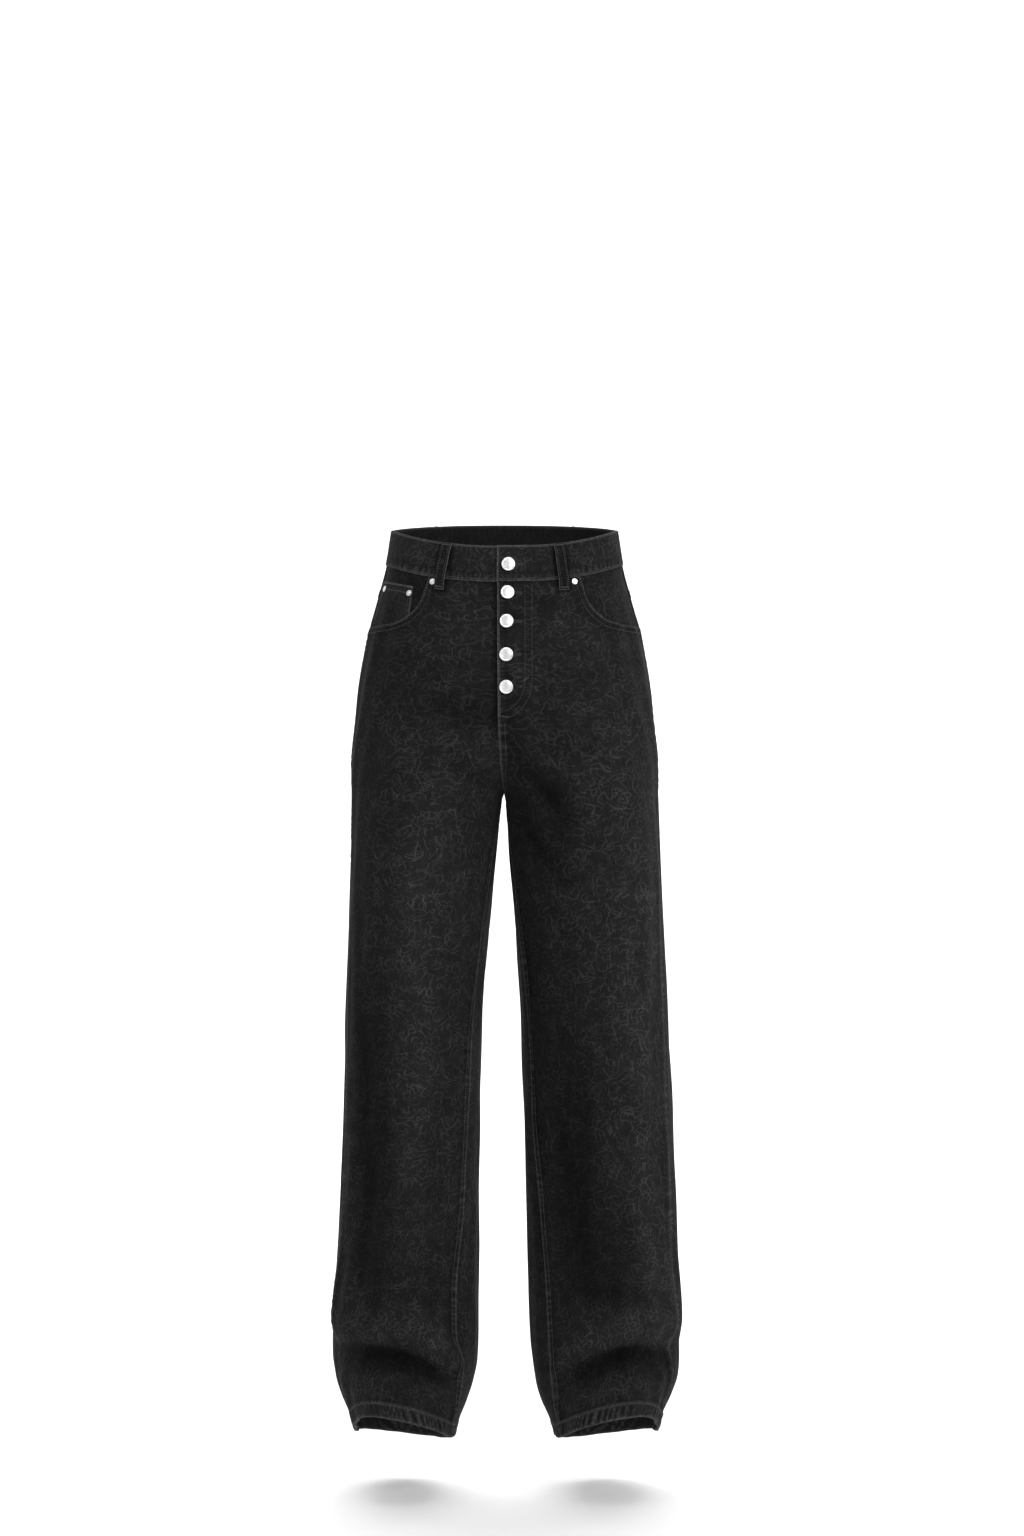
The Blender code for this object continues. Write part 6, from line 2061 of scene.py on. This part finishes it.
@dataclass
class BeltLoops:
    """Five folded strips over the waistband."""

    band: Waistband
    thick: float = 0.0018
    arch: float = 0.0030
    length: float = 0.060
    row_share: float = 0.62
    columns: tuple = (-1.0, -0.97, -0.88, -0.74, -0.5, -0.2, 0.2, 0.5, 0.74, 0.88, 0.97, 1.0)

    def spine(self, spot: LoopPlace, share: Array) -> tuple[Array, Array, Array]:
        """Middle line of a loop: points, outward and sideways directions."""
        level = mix(LOOP_TOP, LOOP_FOOT, share)
        x = mix(spot.top_x, spot.foot_x, share)
        base = self.band.proud * smooth(level, BAND_BOTTOM - 0.009, BAND_BOTTOM + 0.001)
        arch = self.arch * smooth(share, 0.0, 0.22) * smooth(share, 1.0, 0.80)
        if spot.face == Face.FRONT:
            turn = self.band.turn_at_x(x, level)
        else:
            turn = 180.0 + np.degrees(np.arctan2(x, self.band.form.hip_back(level)))
        middle = self.band.point(turn, level)
        normal = self.band.normal(turn, level)
        aside = unit(np.cross(normal, np.gradient(middle, axis=0)))
        return middle + normal * (base + arch + LAID_GAP)[:, None], normal, aside

    def build(self, finishes: Finishes) -> dict:
        """All loops with their rows and tacks, by name."""
        share = np.unique(np.r_[np.linspace(0.0, 1.0, 40), 0.006, 0.994])
        across = np.array(self.columns)
        rim = smooth(np.abs(across), 0.86, 1.0)
        crown = self.thick * (1.0 - 0.34 * rim - 0.16 * bell(across, 0.0, 0.34))
        ends = smooth(share, 0.02, 0.0) + smooth(share, 0.98, 1.0)
        worn = np.maximum(0.80 * rim, 0.55 * ends[:, None])
        # loops darker than the band, with painted shade in the grooves along their stitch rows
        tone = np.full(worn.shape, 0.72) - 0.30 * bell(np.abs(across), self.row_share, 0.16)
        groups = {}
        for index, spot in enumerate(LOOPS):
            middle, normal, aside = self.spine(spot, share)
            rows = middle[:, None, :] + aside[:, None, :] * (across[None, :, None] * 0.5 * LOOP_WIDTH)
            outer = rows + normal[:, None, :] * crown[None, :, None]
            place = np.stack(np.meshgrid(across * 0.006 + 16.0 + 0.5 * index, share * self.length), -1)
            sewing = Sewing()
            for edge in (-self.row_share, self.row_share):
                path = mix(rows[:, 0], rows[:, -1], 0.5 + 0.5 * edge) + normal * self.thick
                sewing.row(path[2:-2], normal[2:-2])
            for at in (3, len(share) - 4):
                sewing.bartack(middle[at] + normal[at] * self.thick, aside[at], normal[at], 0.0105, 0.0022)
            name = "belt_loop_" + spot.name
            groups[name] = dressed(name, ClothWall(outer, rows, place, worn, tone), sewing, finishes)
        return groups


# ------------------------------------------------------------- metal
@dataclass
class Buttons:
    """Five shank buttons with a raised rim, and their worked holes."""

    form: WornForm
    band: Waistband
    lap: FrontPanel
    radius: float = 0.0086
    height: float = 0.0042
    steps: int = 56
    eye_offset: float = 0.0060
    hole: float = 0.0115
    places: tuple = (
        ("waist_button", 0.0049, -0.0244),
        ("fly_button_1", 0.0035, -0.0593),
        ("fly_button_2", 0.0028, -0.0950),
        ("fly_button_3", 0.0025, -0.1356),
        ("fly_button_4", 0.0025, -0.1754),
    )
    # shares of radius and height from the middle of the head to its shank
    section: tuple = (
        (0.0, 0.95), (0.20, 0.945), (0.40, 0.925), (0.58, 0.885), (0.70, 0.84), (0.76, 0.815), (0.79, 0.83),
        (0.82, 0.90), (0.86, 0.95), (0.90, 0.955), (0.95, 0.91), (0.985, 0.82), (1.0, 0.70), (0.985, 0.58),
        (0.93, 0.48), (0.80, 0.44), (0.42, 0.40), (0.40, 0.20), (0.40, 0.0), (0.0, 0.0),
    )

    def build(self, finishes: Finishes) -> None:
        """The buttons, and one piece of worked holes."""
        profile = np.array(self.section) * np.array([self.radius, self.height])
        holes = Sewing()
        for name, x, z in self.places:
            if name == "waist_button":
                level = np.array([z + self.form.waist_dip])
                turn = self.band.turn_at_x(np.array([x]), level)
                base = self.band.point(turn, level)[0]
                normal = self.band.normal(turn, level)[0]
                lift = self.band.proud + self.band.over_lift
            else:
                angle, level = self.form.place_on(self.lap.side, np.array([x]), np.array([z]))
                base = self.lap.place(angle, level)[0]
                normal = self.lap.normal(angle, level)[0]
                lift = self.lap.fly_lift
            turned(name, profile, self.steps, base + normal * (lift + SEAM_GAP), normal, finishes)
            along = unit(np.array([1.0, 0.0, 0.0]) - normal * normal[0])
            holes.buttonhole(base + normal * lift + along * self.eye_offset, along, normal, self.hole)
        holes.build("worked_buttonholes", finishes)


@dataclass
class Rivets:
    """Rivets at the pocket corners."""

    form: WornForm
    coin: CoinPocket
    radius: float = 0.0038
    height: float = 0.0016
    steps: int = 40
    places: tuple = (
        ("rivet_pocket_right", -0.0890, -0.0440, False),
        ("rivet_pocket_left", 0.0870, -0.0440, False),
        ("rivet_coin_pocket_in", -0.1198, -0.0568, True),
        ("rivet_coin_pocket_out", -0.1525, -0.0490, True),
    )
    # shares of radius and height from the middle to the foot
    section: tuple = (
        (0.0, 1.0), (0.16, 0.99), (0.28, 0.93), (0.34, 0.80), (0.38, 0.55), (0.46, 0.48), (0.60, 0.52),
        (0.74, 0.60), (0.86, 0.62), (0.95, 0.52), (1.0, 0.34), (1.0, 0.0), (0.0, 0.0),
    )

    def build(self, finishes: Finishes) -> None:
        """All rivets."""
        profile = np.array(self.section) * np.array([self.radius, self.height])
        for name, x, z, on_coin in self.places:
            cloth = SidePiece(self.form, Side.RIGHT if x < 0.0 else Side.LEFT)
            angle, level = self.form.place_on(cloth.side, np.array([x]), np.array([z]))
            normal = cloth.normal(angle, level)[0]
            lift = SEAM_GAP
            if on_coin:
                lift = lift + float(self.coin.face_height(angle, level)[0])
            turned(name, profile, self.steps, cloth.place(angle, level)[0] + normal * lift, normal, finishes)


# ------------------------------------------------------------- studio
class Lamp(NamedTuple):
    """A soft area light: where it is, what it is aimed at, its size in metres and its watts."""

    name: str
    place: tuple
    target: tuple
    size: tuple
    power: float


LAMPS = (
    Lamp("key", (1.9, -3.2, 1.5), (0.0, 0.0, -0.5), (1.6, 1.6), 76.0),
    Lamp("fill", (-2.0, -3.2, 0.4), (0.0, 0.0, -0.6), (1.8, 2.2), 12.0),
    Lamp("top", (0.0, -0.2, 2.6), (0.0, 0.0, -0.6), (2.4, 2.4), 40.0),
    Lamp("paper", (0.0, 1.4, 2.8), (0.0, 3.2, 0.0), (4.0, 1.2), 125.0),
    Lamp("wall", (0.0, 3.4, 3.4), (0.0, 6.2, 0.0), (4.5, 1.2), 150.0),
)


@dataclass
class Studio:
    """Pale floor, soft lights and the camera at the photograph's angle."""

    floor: float = -1.200
    half_width: float = 7.0
    paper_top: float = 7.0
    bend_y: float = 4.8
    bend_radius: float = 1.6
    room_light: float = 0.49
    camera_place: tuple = (0.0095, -4.0, -0.2750)
    lens: float = 73.8

    def backdrop(self) -> None:
        """A floor that curves up behind, in one sheet."""
        bench = Bench("pale_paper")
        mottle = bench.step(bench.noise(bench.node("TexCoord", out=3), 3.0), 0.3, 0.7, 0.955, 0.965)
        colour = bench.node("CombineColor", ins={0: mottle, 1: mottle, 2: mottle})
        bend = self.bend_radius
        profile = [(-self.half_width, 0.0), (self.bend_y, 0.0)]
        for turn in np.linspace(0.0, 0.5 * math.pi, 14)[1:]:
            profile.append((self.bend_y + bend * math.sin(turn), bend - bend * math.cos(turn)))
        profile.append((self.bend_y + bend, self.paper_top))
        points = [(x, y, self.floor + z) for y, z in profile for x in (-self.half_width, self.half_width)]
        faces = [(2 * i, 2 * i + 1, 2 * i + 3, 2 * i + 2) for i in range(len(profile) - 1)]
        mesh = bpy.data.meshes.new("paper_sweep")
        mesh.from_pydata(points, [], faces)
        mesh.shade_smooth()
        mesh.materials.append(bench.finish(colour, 0.9, Specular_IOR_Level=0.1))
        sweep = bpy.data.objects.new("paper_sweep", mesh)
        bpy.context.scene.collection.objects.link(sweep)

    def light(self, lamp: Lamp) -> None:
        """Hang one lamp."""
        data = bpy.data.lights.new(lamp.name, "AREA")
        data.shape = "RECTANGLE"
        data.size, data.size_y = lamp.size
        data.energy = lamp.power
        holder = bpy.data.objects.new(lamp.name, data)
        holder.location = lamp.place
        aim = Vector(lamp.target) - Vector(lamp.place)
        holder.rotation_euler = aim.to_track_quat("-Z", "Y").to_euler()
        bpy.context.scene.collection.objects.link(holder)

    def build(self) -> None:
        """Set everything that isn't the garment."""
        scene = bpy.context.scene
        scene.view_settings.view_transform = "Standard"
        world = bpy.data.worlds.new("soft_room")
        world.use_nodes = True
        background = world.node_tree.nodes["Background"]
        background.inputs["Color"].default_value = (1.0, 1.0, 1.0, 1.0)
        background.inputs["Strength"].default_value = self.room_light
        scene.world = world
        self.backdrop()
        for lamp in LAMPS:
            self.light(lamp)
        camera = bpy.data.objects.new("camera", bpy.data.cameras.new("camera"))
        camera.data.sensor_width = 36.0
        camera.data.lens = self.lens
        camera.data.clip_end = 50.0
        camera.location = self.camera_place
        camera.rotation_euler = (math.radians(90.0), 0.0, 0.0)
        scene.collection.objects.link(camera)
        scene.camera = camera


def main() -> None:
    """Build every sub-assembly in order."""
    logging.basicConfig(level=logging.INFO, format="%(message)s")
    Studio().build()
    form = WornForm()
    finishes = Finishes()
    fronts = {side: FrontPanel(form, side) for side in Side}
    for side, front in fronts.items():
        beside = (kind(form, side) for kind in (BackPanel, Yoke, PocketFacing, BackPocket))
        for piece in (front, *beside):
            piece.build(finishes)
            piece.name()
    coin = CoinPocket(form, Side.RIGHT)
    coin.build(finishes)
    ButtonStand(form, Side.LEFT).build(finishes)
    band = Waistband(form)
    band.build(finishes)
    BeltLoops(band).build(finishes)
    Buttons(form, band, fronts[Side.LEFT]).build(finishes)
    Rivets(form, coin).build(finishes)


if __name__ == "__main__":
    main()
